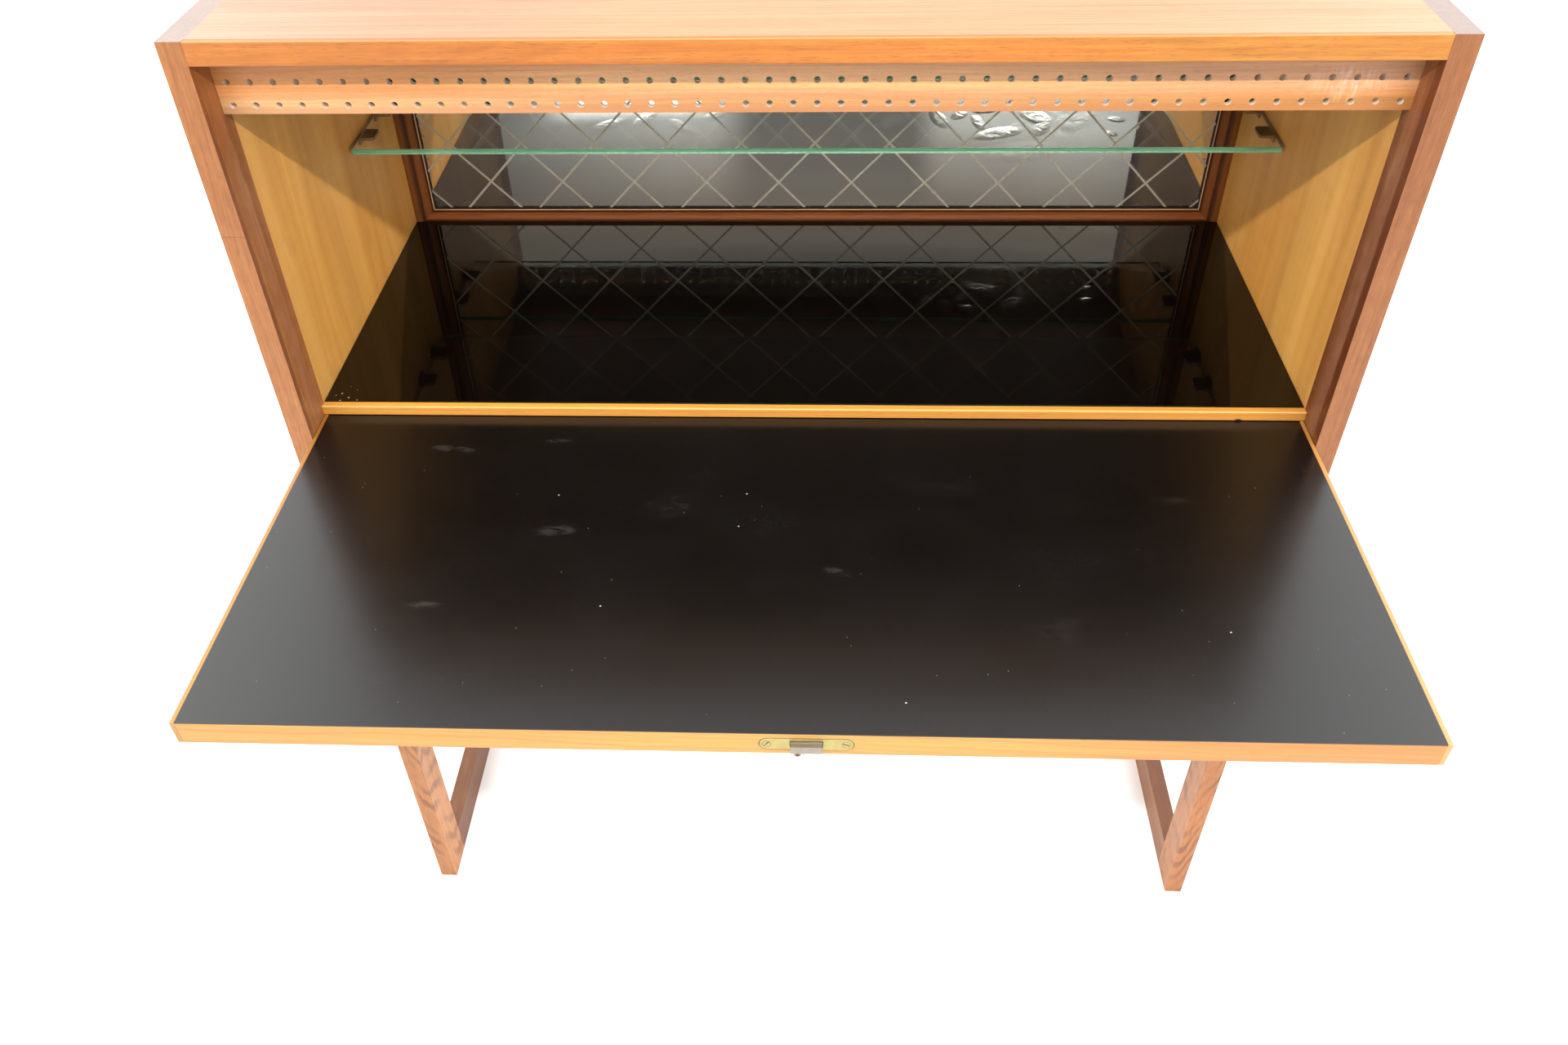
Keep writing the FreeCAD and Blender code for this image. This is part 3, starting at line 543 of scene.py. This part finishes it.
def frame_extra(axis):
    """Darker grooves of the moulding, partly dirt and partly painted shade, a redder tone on its raised bead, a painted
    highlight on the lip's edge with painted shade on the ledge behind it, and the side members darkened overall as
    painted shade.
    """
    def fn(g, x, y, z, col, rgh, height):
        dirt = g.noise(g.comb(g.div(x, 14.0), g.div(y, 3.0), g.div(z, 14.0)), 1.0, 3.0, 0.6)
        w = g.mn(g.mn(g.sub(479.0, g.absf(x)), g.sub(z, 759.6)), g.sub(1127.5, z))
        bead = g.band(w, 12.0, 18.8, 1.2)
        col = g.mix(g.mul(bead, 0.5), col, (0.300, 0.078, 0.016))
        # side members darkened overall: painted shade
        if axis == "z":
            col = g.mix(0.28, col, (0.050, 0.016, 0.006))
        # grooves darkened, partly dirt, partly painted shade
        hollow = g.band(w, 7.1, 10.9, 0.9)
        col = g.mix(g.mul(hollow, g.rng(dirt, 0.1, 0.5, 0.45, 0.85)), col, (0.045, 0.014, 0.007))
        fine = g.band(w, 19.2, 20.3, 0.25)
        col = g.mix(g.mul(fine, 0.8), col, (0.040, 0.014, 0.008))
        # painted highlight on the inner lip's edge
        lip = g.mul(g.band(w, 21.1, 22.05, 0.2), g.rng(y, 424.6, 424.0))
        col = g.mix(g.mul(lip, 0.92), col, (0.62, 0.43, 0.27))
        # painted shade: a near-black ledge between the lip and the mirror
        painted_ledge_shade = g.mul(g.rng(w, 22.0, 22.25), g.rng(y, 423.5, 423.9))
        col = g.mix(g.mul(painted_ledge_shade, 0.94), col, (0.022, 0.012, 0.008))
        rgh = g.mixf(painted_ledge_shade, rgh, 0.95)
        return col, rgh, height
    return fn


DARKTEAK = dict(light=(0.36, 0.135, 0.034), mid=(0.265, 0.086, 0.019), dark=(0.130, 0.038, 0.009))
for n, ax, sd in (("bottom", "x", 79), ("top", "x", 83), ("left", "z", 89), ("right", "z", 97)):
    dress(NODES[f"mirror_frame_{n}"], wood(f"dark_teak_frame_{n}", ax, sd, pith=(500.0, 700.0) if ax == "x" else (-520.0, 380.0), ringw=2.3, warp=6.0,
                                           ring=0.4, streak=0.3, rough=0.36, spec=0.20, extra=frame_extra(ax), **DARKTEAK))
    ease(NODES[f"mirror_frame_{n}"], 0.0002, 2, 50)


def ply_extra(g, x, y, z, col, rgh, height):
    stain = g.noise(g.comb(g.div(x, 120.0), g.div(z, 160.0), 1.0), 1.0, 4.0, 0.6)
    col = g.mix(g.rng(stain, 0.45, 0.75, 0.0, 0.35), col, (0.20, 0.12, 0.07))
    return col, rgh, height


dress(NODES["back_panel"], wood("ply_back", "z", 101, pith=(90.0, 250.0), ringw=9.0, warp=60.0, slope=0.06, ring=0.35, streak=0.5, fibre=0.45, rough=0.62,
                                extra=ply_extra, light=(0.30, 0.195, 0.105), mid=(0.235, 0.142, 0.070), dark=(0.155, 0.086, 0.040)))


# ---------------------------------------------------------------------------------------------
# glass, laminate, metal
# ---------------------------------------------------------------------------------------------
# dust crumbs lying on the black glass at its front left corner: x, y, radius in mm, strength
CRUMBS = [(-464.7, 60.1, 1.5, 0.55), (-456.1, 53.3, 1.6, 0.5), (-446.6, 49.3, 1.3, 0.4), (-463.5, 48.4, 1.4, 0.5),
          (-451.0, 66.0, 0.9, 0.3), (-470.0, 57.0, 1.0, 0.35), (-459.0, 72.0, 0.8, 0.25)]


def black_glass():
    g = Net("black_glass")
    x, y, z = g.mm()
    dust_d, dust_c = g.cells(g.comb(g.div(x, 7.0), g.div(y, 7.0), g.div(z, 7.0)))
    size = g.rng(g.noise(g.comb(g.div(x, 60.0), g.div(y, 60.0), 1.0), 1.0, 2.0), 0.45, 0.75, 0.02, 0.07)
    dust = g.rng(dust_d, size, 0.0)
    crumbs = None
    for cx, cy, cr, ca in CRUMBS:
        k = g.mul(g.rng(g.spot(x, y, cx, cy, cr, cr), 0.15, 0.5), ca)
        crumbs = k if crumbs is None else g.mx(crumbs, k)
    dust = g.mx(g.mul(dust, 0.10), crumbs)
    col = g.mix(dust, (0.0011, 0.0009, 0.0007), (0.45, 0.38, 0.30))
    wipe = g.noise(g.comb(g.div(x, 90.0), g.div(y, 34.0), 4.0), 1.0, 4.0, 0.6, 0.8)
    rgh = g.add(g.rng(wipe, 0.45, 0.78, 0.012, 0.045), g.mul(dust, 0.5))
    g.surface(col, rgh, None, ior=1.52, spec=0.3)
    return g.mat


def laminate():
    g = Net("black_laminate")
    x, y, z = g.mm()
    grain = g.noise(g.comb(g.div(x, 0.9), g.div(y, 0.9), g.div(z, 0.9)), 1.0, 2.0, 0.6)
    cloud = g.noise(g.comb(g.div(x, 130.0), g.div(y, 90.0), 2.0), 1.0, 4.0, 0.6)
    swirl = g.noise(g.comb(g.div(x, 22.0), g.div(y, 9.0), 5.0), 1.0, 4.0, 0.65, 0.9)
    col = g.ramp(cloud, [(0.3, (0.0013, 0.0013, 0.0012)), (0.7, (0.0019, 0.0018, 0.0017))])
    d, c = g.cells(g.comb(g.div(x, 17.0), g.div(y, 17.0), 2.0))
    speck = g.rng(d, 0.030, 0.018)
    col = g.mix(g.mul(speck, 0.5), col, (0.22, 0.20, 0.18))
    smear = None
    for (sx, sy, ru, rv, turn, a) in SMEARS:
        s = g.mul(g.spot(x, y, sx, sy, ru, rv, turn), a)
        smear = s if smear is None else g.mx(smear, s)
    smear = g.mul(smear, g.rng(swirl, 0.40, 0.70))
    col = g.mix(g.mul(smear, 0.75), col, (0.052, 0.049, 0.046))
    for sx, sy in ((-224.0, -80.0), (-52.0, -76.0), (-166.0, -220.0), (344.0, -240.0), (82.0, -318.0), (-57.0, -120.0)):
        col = g.mix(g.mul(g.rng(g.spot(x, y, sx, sy, 1.25, 1.0), 0.2, 0.6), 0.7), col, (0.42, 0.41, 0.40))
    rgh = g.add(g.rng(cloud, 0.3, 0.7, 0.22, 0.27), g.add(g.mul(g.sub(grain, 0.5), 0.06), g.mul(smear, 0.25)))
    nrm = g.bump(grain, 0.10, 0.00006)
    g.surface(col, g.sat(rgh), nrm, ior=1.5)
    return g.mat


# places of the faint smears on the laminate: x, y, half axes in mm, turn, strength
SMEARS = [(-337.0, -14.0, 30.0, 7.0, -0.12, 0.65), (-219.0, -128.0, 24.0, 9.0, 0.1, 0.75), (30.0, -176.0, 16.0, 6.0, -0.3, 0.55),
          (-313.0, -221.0, 20.0, 6.0, 0.0, 0.45), (-238.0, 0.0, 26.0, 5.0, 0.05, 0.30), (-120.0, -95.0, 40.0, 22.0, 0.3, 0.14),
          (210.0, -240.0, 50.0, 20.0, 0.2, 0.10), (330.0, -80.0, 26.0, 8.0, 0.1, 0.12), (120.0, -60.0, 60.0, 26.0, -0.2, 0.08)]


# greasy smudges on the mirror behind the shelf: x, z, half axes in mm, turn, strength
SMUDGES = [(145.0, 888.0, 16.0, 8.0, -0.7, 0.8), (168.0, 893.0, 12.0, 6.0, 0.3, 0.5), (197.0, 899.0, 18.0, 5.0, 0.1, 0.9),
           (213.0, 871.0, 34.0, 8.0, 0.15, 1.0), (190.0, 884.0, 15.0, 7.0, -0.8, 0.6), (253.0, 891.0, 24.0, 9.0, -0.35, 1.0),
           (262.0, 878.0, 14.0, 10.0, 0.9, 0.7), (300.0, 886.0, 34.0, 16.0, 0.2, 0.22), (345.0, 887.0, 12.0, 3.6, -0.1, 0.9),
           (342.0, 870.0, 9.0, 3.2, -0.2, 0.8), (380.0, 880.0, 14.0, 6.0, 0.4, 0.14), (90.0, 884.0, 26.0, 12.0, 0.5, 0.25),
           (-191.0, 890.0, 26.0, 8.0, 0.6, 0.12), (-150.0, 880.0, 22.0, 9.0, -0.5, 0.10), (-235.0, 882.0, 30.0, 8.0, 0.3, 0.09),
           (-110.0, 893.0, 20.0, 7.0, 0.2, 0.10), (240.0, 850.0, 60.0, 14.0, 0.1, 0.14)]


def mirror_glass():
    g = Net("mirror_silver")
    x, y, z = g.mm()
    haze = g.noise(g.comb(g.div(x, 120.0), g.div(z, 60.0), 3.0), 1.0, 4.0, 0.6, 0.5)
    wipe = g.noise(g.comb(g.div(x, 20.0), g.div(z, 7.0), 6.0), 1.0, 4.0, 0.65, 1.2)
    col = g.ramp(haze, [(0.3, (0.78, 0.785, 0.765)), (0.7, (0.83, 0.835, 0.815))])
    edge = g.mx(g.rng(g.absf(x), 443.5, 457.5), g.mx(g.rng(z, 795.0, 782.0), g.rng(z, 1092.0, 1105.5)))
    fox = g.noise(g.comb(g.div(x, 7.0), g.div(z, 7.0), 9.0), 1.0, 3.0, 0.7)
    spot = g.mul(g.rng(fox, 0.56, 0.72), g.mul(edge, 0.7))
    col = g.mix(spot, col, (0.10, 0.085, 0.07))
    smear = g.mul(g.spot(x, z, 262.0, 882.0, 150.0, 42.0), g.rng(wipe, 0.44, 0.66))
    grease = None
    for sx, sz, ru, rv, turn, a in SMUDGES:
        k = g.mul(g.spot(x, z, sx, sz, ru, rv, turn), a)
        grease = k if grease is None else g.mx(grease, k)
    swirl = g.noise(g.comb(g.div(x, 11.0), g.div(z, 6.0), 8.0), 1.0, 4.0, 0.6, 1.6)
    grease0 = g.rng(grease, 0.02, 0.62)
    grease = g.mul(grease, g.rng(swirl, 0.36, 0.56))
    col = g.mix(grease, col, (0.92, 0.91, 0.87))
    rgh = g.add(g.rng(wipe, 0.5, 0.8, 0.012, 0.05), g.add(g.mul(smear, 0.14), g.mul(grease, 0.13)))
    metal = g.sub(1.0, g.add(g.mul(smear, 0.06), g.add(g.mul(spot, 0.5), g.mul(grease, 0.30))))
    relief = g.mul(grease0, g.noise(g.comb(g.div(x, 15.0), g.div(z, 8.0), 12.0), 1.0, 3.0, 0.5, 1.2))
    g.surface(col, g.sat(rgh), g.bump(relief, 1.0, 0.00022), metallic=g.sat(metal), ior=1.5)
    return g.mat


def lattice_mat():
    g = Net("mirror_ground_lines")
    x, y, z = g.mm()
    n = g.noise(g.comb(g.div(x, 1.6), g.div(z, 1.6), 1.0), 1.0, 3.0, 0.6)
    b = g.noise(g.comb(g.div(x, 45.0), g.div(z, 45.0), 2.0), 1.0, 3.0, 0.6)
    col = g.ramp(g.add(g.mul(n, 0.5), g.mul(b, 0.5)), [(0.3, (0.46, 0.42, 0.335)), (0.7, (0.63, 0.58, 0.48))])
    rgh = g.rng(n, 0.3, 0.7, 0.36, 0.46)
    g.surface(col, rgh, g.bump(n, 0.05, 0.00003), metallic=0.42, ior=1.5, spec=0.0)
    return g.mat


def shelf_glass():
    g = Net("shelf_glass")
    x, y, z = g.mm()
    nx, ny, nz = g.normal()
    side = g.rng(g.absf(nz), 0.75, 0.35)
    ripple = g.noise(g.comb(g.div(x, 30.0), g.div(y, 30.0), g.div(z, 1.2)), 1.0, 3.0, 0.6)
    edge = g.ramp(ripple, [(0.3, (0.095, 0.315, 0.165)), (0.7, (0.22, 0.52, 0.30))])
    spark = g.noise(g.comb(g.div(x, 5.0), g.div(z, 1.0), 3.3), 1.0, 3.0, 0.7)
    band = g.rng(z, 931.8, 930.8)
    middle = g.rng(g.absf(g.sub(x, 40.0)), 470.0, 120.0, 0.25, 1.0, True)
    # upper part of the front edge darkened: painted shade
    edge = g.mix(g.rng(z, 933.2, 934.8), edge, g.mix(1.0, edge, (0.55, 0.62, 0.55), "MULTIPLY"))
    # a bright line along the lower edge with sparkles: painted highlight and painted glints
    edge = g.mix(g.mul(g.mul(band, middle), g.rng(spark, 0.38, 0.60, 0.35, 1.0)), edge, (0.56, 0.92, 0.66))
    edge = g.mix(g.mul(g.rng(spark, 0.58, 0.68), g.mul(band, g.rng(g.absf(g.add(x, 180.0)), 330.0, 60.0, 0.1, 0.9))), edge, (0.80, 0.95, 0.85))
    ends = g.rng(g.absf(nx), 0.5, 0.8)
    edge = g.mix(ends, edge, (0.020, 0.026, 0.012))
    col = g.mix(side, (0.93, 0.98, 0.955), edge)
    finger = g.noise(g.comb(g.div(x, 40.0), g.div(y, 26.0), 2.0), 1.0, 4.0, 0.65, 0.8)
    rgh = g.mixf(side, g.rng(finger, 0.5, 0.8, 0.0, 0.06), 0.16)
    p = g.surface(col, rgh, None, ior=1.5, transmission=g.mixf(side, 1.0, g.mixf(ends, 0.15, 0.0)))
    lp = g.node("ShaderNodeLightPath")
    clear = g.node("ShaderNodeBsdfTransparent")
    clear.inputs[0].default_value = (0.88, 0.95, 0.92, 1)
    m = g.node("ShaderNodeMixShader")
    g.put(m.inputs[0], lp.outputs["Is Shadow Ray"])
    g.t.links.new(p.outputs[0], m.inputs[1])
    g.t.links.new(clear.outputs[0], m.inputs[2])
    g.t.links.new(m.outputs[0], g.out.inputs["Surface"])
    return g.mat


def metal(name, light, dark, rough, brush, axis=0, tarnish=0.4, spots=0.3, scale=1.0, rings=(), top=None):
    g = Net(name)
    x, y, z = g.mm()
    c = [x, y, z]
    long = [0.45 / scale] * 3
    long[axis] = 14.0 / scale
    lines = g.noise(g.comb(*[g.div(c[i], long[i]) for i in range(3)]), 1.0, 2.0, 0.6)
    cloud = g.noise(g.comb(*[g.div(v, 7.0 / scale) for v in c]), 1.0, 4.0, 0.65)
    fine = g.noise(g.comb(*[g.div(v, 1.3 / scale) for v in c]), 1.0, 3.0, 0.7)
    k = g.rng(cloud, 0.34, 0.70, 0.0, tarnish)
    col = g.mix(k, light, dark)
    col = g.mix(g.mul(g.rng(fine, 0.58, 0.74), spots), col, tuple(0.35 * v for v in dark))
    for cx, cz, cr in rings:
        ex, ez = g.sub(x, cx), g.sub(z, cz)
        rim = g.band(g.math("SQRT", g.add(g.mul(ex, ex), g.mul(ez, ez))), cr - 0.15, cr + 0.45, 0.15)
        col = g.mix(g.mul(rim, 0.62), col, tuple(0.22 * v for v in dark))
    # up-facing faces lightened by top: painted light
    if top is not None:
        nx, ny, nz = g.normal()
        col = g.mix(g.rng(nz, 0.6, 0.9), col, g.mix(1.0, col, top, "MULTIPLY"))
    rgh = g.add(rough, g.add(g.mul(g.sub(cloud, 0.5), 0.25), g.mul(g.sub(lines, 0.5), brush)))
    g.surface(col, g.sat(rgh), g.bump(g.add(g.mul(lines, 0.6), g.mul(fine, 0.4)), 0.18, 0.00008), metallic=g.sub(1.0, g.mul(k, 0.35)))
    return g.mat


def bronze():
    g = Net("bronze_plastic")
    x, y, z = g.mm()
    n = g.noise(g.comb(g.div(x, 1.1), g.div(y, 1.1), g.div(z, 1.1)), 1.0, 3.0, 0.6)
    c = g.noise(g.comb(g.div(x, 8.0), g.div(y, 8.0), g.div(z, 8.0)), 1.0, 3.0, 0.6)
    col = g.ramp(c, [(0.3, (0.120, 0.056, 0.024)), (0.7, (0.220, 0.108, 0.052))])
    g.surface(col, g.rng(n, 0.3, 0.7, 0.30, 0.44), g.bump(n, 0.15, 0.0001), metallic=0.25)
    return g.mat


dress(NODES["black_glass"], black_glass())
dress(NODES["flap_laminate"], laminate())
dress(NODES["mirror"], mirror_glass())
dress(NODES["glass_shelf"], shelf_glass())
ease(NODES["glass_shelf"], 0.0006, 2)
dress(NODES["shelf_supports"], bronze())
ease(NODES["shelf_supports"], 0.0004, 2)
BRASS = metal("brass_plate", (0.335, 0.285, 0.110), (0.225, 0.178, 0.064), 0.34, 0.22, 0, 0.55, 0.35,
              rings=((-23.4, 747.45, 3.0), (36.8, 747.45, 3.0)))
dress(NODES["lock_plate"], BRASS)
dress(NODES["lock_screws"], metal("brass_screws", (0.36, 0.30, 0.14), (0.15, 0.115, 0.05), 0.36, 0.1, 0, 0.6, 0.4, 2.0))
for n in ("pivot_sockets", "key_escutcheon", "strike_plate", "strike_screws", "flap_pivot_left", "flap_pivot_right", "pivot_screws"):
    dress(NODES[n], metal("brass_" + n, (0.74, 0.60, 0.33), (0.42, 0.32, 0.15), 0.38, 0.2, 1, 0.5, 0.35))
# lighter, bluer top faces on the bolt: painted light
dress(NODES["lock_bolt"], metal("steel_bolt", (0.238, 0.216, 0.176), (0.150, 0.130, 0.100), 0.36, 0.2, 1, 0.45, 0.3, 1.5, top=(1.2, 1.25, 1.4)))
dress(NODES["lock_key"], metal("steel_key", (0.50, 0.49, 0.49), (0.28, 0.265, 0.26), 0.34, 0.1, 2, 0.5, 0.35, 1.5))
dress(NODES["lock_case"], metal("steel_case", (0.50, 0.49, 0.47), (0.26, 0.22, 0.19), 0.48, 0.2, 0, 0.6, 0.4))
dress(NODES["back_screws"], metal("steel_screws", (0.58, 0.56, 0.52), (0.30, 0.26, 0.22), 0.42, 0.1, 0, 0.5, 0.4, 1.5))
for n in ("lock_plate", "lock_bolt", "key_escutcheon", "strike_plate"):
    ease(NODES[n], 0.00025, 2)


# ---------------------------------------------------------------------------------------------
# ground lattice on the mirror: real, very shallow strips on its face
# ---------------------------------------------------------------------------------------------
def clip(poly, axis, limit, keep_less):
    out = []
    for i, p in enumerate(poly):
        q = poly[(i + 1) % len(poly)]
        a = (p[axis] - limit) * (1 if keep_less else -1)
        b = (q[axis] - limit) * (1 if keep_less else -1)
        if a <= 0:
            out.append(p)
        if a * b < 0:
            s = a / (a - b)
            out.append((p[0] + (q[0] - p[0]) * s, p[1] + (q[1] - p[1]) * s))
    return out


def lattice():
    half_x, z_lo, z_hi = 456.6, 782.0, 1105.1
    face = 427.5 + DY
    slope = 45.5 / 42.99
    verts, faces = [], []
    norm = math.hypot(1.0, slope)
    for sign in (1, -1):
        nx, nz = -sign * slope / norm, 1.0 / norm
        for k in range(-12, 13):
            x0 = 4.16 + 85.98 * k
            wid = 1.25
            line = []
            for s, side in ((-1, 1), (1, 1), (1, -1), (-1, -1)):
                xx = x0 + s * 420.0
                zz = 859.7 - 0.0044 * (x0 + s * 420.0) + sign * slope * s * 420.0
                line.append((xx + side * wid * nx, zz + side * wid * nz))
            for axis, lim, less in ((0, half_x, True), (0, -half_x, False), (1, z_hi, True), (1, z_lo, False)):
                line = clip(line, axis, lim, less)
                if len(line) < 3:
                    break
            if len(line) < 3:
                continue
            proud = 0.05 if sign > 0 else 0.06
            n, b = len(line), len(verts)
            for px, pz in line:
                verts.append((px / 1000, (face - proud) / 1000, pz / 1000))
            for px, pz in line:
                verts.append((px / 1000, face / 1000, pz / 1000))
            area = sum(line[i][0] * line[(i + 1) % n][1] - line[(i + 1) % n][0] * line[i][1] for i in range(n))
            order = list(range(n)) if area > 0 else list(range(n))[::-1]
            faces.append([b + i for i in order])
            faces.append([b + n + i for i in order[::-1]])
            for i in range(n):
                j0, j1 = order[i], order[(i + 1) % n]
                faces.append([b + j1, b + j0, b + n + j0, b + n + j1])
    me = bpy.data.meshes.new("mirror_lattice")
    me.from_pydata(verts, [], faces)
    me.update()
    ob = bpy.data.objects.new("mirror_lattice", me)
    bpy.context.scene.collection.objects.link(ob)
    me.materials.append(lattice_mat())
    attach(ob, "cabinet")
    return ob


lattice()


# ---------------------------------------------------------------------------------------------
# floor, lights, camera
# ---------------------------------------------------------------------------------------------
def floor():
    s = 14.0
    me = bpy.data.meshes.new("studio_floor")
    me.from_pydata([(-s, -s, -0.0002), (s, -s, -0.0002), (s, s, -0.0002), (-s, s, -0.0002)], [], [(0, 1, 2, 3)])
    ob = bpy.data.objects.new("studio_floor", me)
    bpy.context.scene.collection.objects.link(ob)
    g = Net("studio_floor")
    x, y, z = g.mm()
    n = g.noise(g.comb(g.div(x, 900.0), g.div(y, 900.0), 1.0), 1.0, 2.0, 0.5)
    col = g.ramp(n, [(0.3, (0.71, 0.71, 0.71)), (0.7, (0.74, 0.74, 0.735))])
    g.surface(col, 0.9, None, spec=0.1)
    dress(ob, g.mat)


floor()

strip = bpy.data.lights.new("key", "AREA")
strip.shape = "RECTANGLE"
strip.size = 5.0
strip.size_y = 0.05
strip.energy = 118.0
strip.color = (1.0, 0.985, 0.96)
ko = bpy.data.objects.new("key", strip)
ko.location = (0.0, -1.4845, 2.40)
ko.rotation_mode = "QUATERNION"
ko.rotation_quaternion = (ko.location - Vector((0.0, 0.05, 0.85))).to_track_quat("Z", "Y")
bpy.context.scene.collection.objects.link(ko)

world = bpy.data.worlds.new("studio")
bpy.context.scene.world = world
world.use_nodes = True
wt = world.node_tree
wt.nodes.clear()
wout = wt.nodes.new("ShaderNodeOutputWorld")
wbg = wt.nodes.new("ShaderNodeBackground")
wt.links.new(wbg.outputs[0], wout.inputs[0])


class Sky(Net):
    def __init__(self, tree):
        self.t = tree


sk = Sky(wt)
tc = sk.node("ShaderNodeTexCoord")
sp = sk.node("ShaderNodeSeparateXYZ")
sk.put(sp.inputs[0], tc.outputs["Generated"])
dx, dy, dz = sp.outputs
front = sk.rng(dy, 0.05, -0.45, 0, 1, True)
narrow = sk.mul(sk.rng(dx, -0.275, -0.12), sk.rng(dx, 0.32, 0.17, 0, 1, True))
glow = sk.ramp(dz, [(0.0, (0.0,) * 3), (0.20, (0.08,) * 3), (0.34, (0.26,) * 3), (0.37, (0.36,) * 3), (0.402, (0.38,) * 3),
                    (0.412, (0.31,) * 3), (0.425, (0.195,) * 3), (0.4454, (0.145,) * 3), (0.459, (0.105,) * 3), (0.466, (0.095,) * 3),
                    (0.472, (0.050,) * 3), (0.479, (0.038,) * 3), (0.488, (0.036,) * 3), (0.493, (0.018,) * 3), (0.502, (0.0,) * 3), (1.0, (0.0,) * 3)], "LINEAR")
gap = sk.mul(sk.rng(dx, -0.092, -0.050, 0, 1, True), sk.rng(dx, 0.092, 0.062, 0, 1, True))
depth = sk.ramp(dz, [(0.36, (0.70,) * 3), (0.39, (0.86,) * 3), (0.412, (0.84,) * 3), (0.422, (0.76,) * 3), (0.435, (0.72,) * 3),
                     (0.447, (0.55,) * 3), (0.4585, (0.36,) * 3), (0.468, (0.06,) * 3), (0.474, (0.0,) * 3)], "LINEAR")
glow = sk.math("MULTIPLY", glow, sk.sub(1.0, sk.mul(gap, depth)))
right_top = sk.mul(sk.mul(sk.rng(dx, 0.075, 0.11, 0, 1, True), sk.rng(dz, 0.428, 0.412, 0, 1, True)), 0.22)
glow = sk.math("MULTIPLY", glow, sk.add(right_top, 1.0))
peak = sk.mul(sk.mul(sk.rng(dz, 0.33, 0.37, 0, 1, True), sk.rng(dz, 0.404, 0.392, 0, 1, True)),
              sk.mul(sk.rng(dx, -0.225, -0.185, 0, 1, True), sk.rng(dx, -0.070, -0.110, 0, 1, True)))
peak_r = sk.mul(sk.mul(sk.rng(dz, 0.300, 0.330, 0, 1, True), sk.rng(dz, 0.380, 0.366, 0, 1, True)),
                sk.mul(sk.rng(dx, 0.075, 0.105, 0, 1, True), sk.rng(dx, 0.225, 0.195, 0, 1, True)))
glow = sk.math("ADD", glow, sk.add(sk.mul(peak, 1.4), sk.mul(peak_r, 2.0)))
tone = sk.ramp(dz, [(0.0, (1.0, 0.99, 0.97)), (0.38, (1.0, 0.995, 0.95)), (0.409, (1.0, 0.98, 0.92)), (0.445, (1.0, 0.90, 0.78)),
                    (0.478, (1.0, 0.86, 0.70)), (0.52, (1.0, 0.95, 0.90)), (0.60, (1.0, 0.99, 0.97))], "LINEAR")
wing = sk.add(sk.mul(sk.rng(sk.absf(dx), 0.33, 0.60, 0, 1, True), 1.5), sk.mul(sk.rng(dz, 0.56, 0.72, 0, 1, True), 0.7))
fr = sk.add(sk.mul(sk.mul(glow, narrow), 15.5), sk.add(wing, 1.1))
sides = sk.rng(sk.absf(dx), 0.25, 0.60, 0, 1, True)
back = sk.add(sk.mul(sides, 2.6), 1.9)
lum = sk.mixf(front, back, fr)
tint = sk.mix(sk.mul(front, sk.rng(sk.absf(dx), 0.42, 0.26, 0.0, 1, True)), (1.0, 0.995, 0.99), tone)
wt.links.new(tint, wbg.inputs[0])
wt.links.new(lum, wbg.inputs[1])

cam = bpy.data.cameras.new("camera")
cam.sensor_fit = "HORIZONTAL"
cam.sensor_width = 36.0
cam.lens = 1530.27 * 36.0 / 1920.0
cam.shift_x = 16.7918 / 1920.0
cam.shift_y = -23.5696 / 1920.0
cam.clip_start = 0.05
cam.clip_end = 60.0
co = bpy.data.objects.new("camera", cam)
bpy.context.scene.collection.objects.link(co)
RX, RY, RZ = -0.7173, -0.0274, 0.0564
base = Matrix.Rotation(RZ, 3, "Z") @ Matrix.Rotation(RX, 3, "X")
right, ahead, up = base.col[0].copy(), base.col[1].copy(), base.col[2].copy()
c, s = math.cos(RY), math.sin(RY)
right, up = c * right + s * up, c * up - s * right
rot = Matrix((right, up, -ahead)).transposed()
co.matrix_world = Matrix.Translation((0.0177358, -0.9797114, 1.5013833)) @ rot.to_4x4()
bpy.context.scene.camera = co

bpy.context.scene.view_settings.view_transform = "Standard"
bpy.context.scene.view_settings.look = "None"
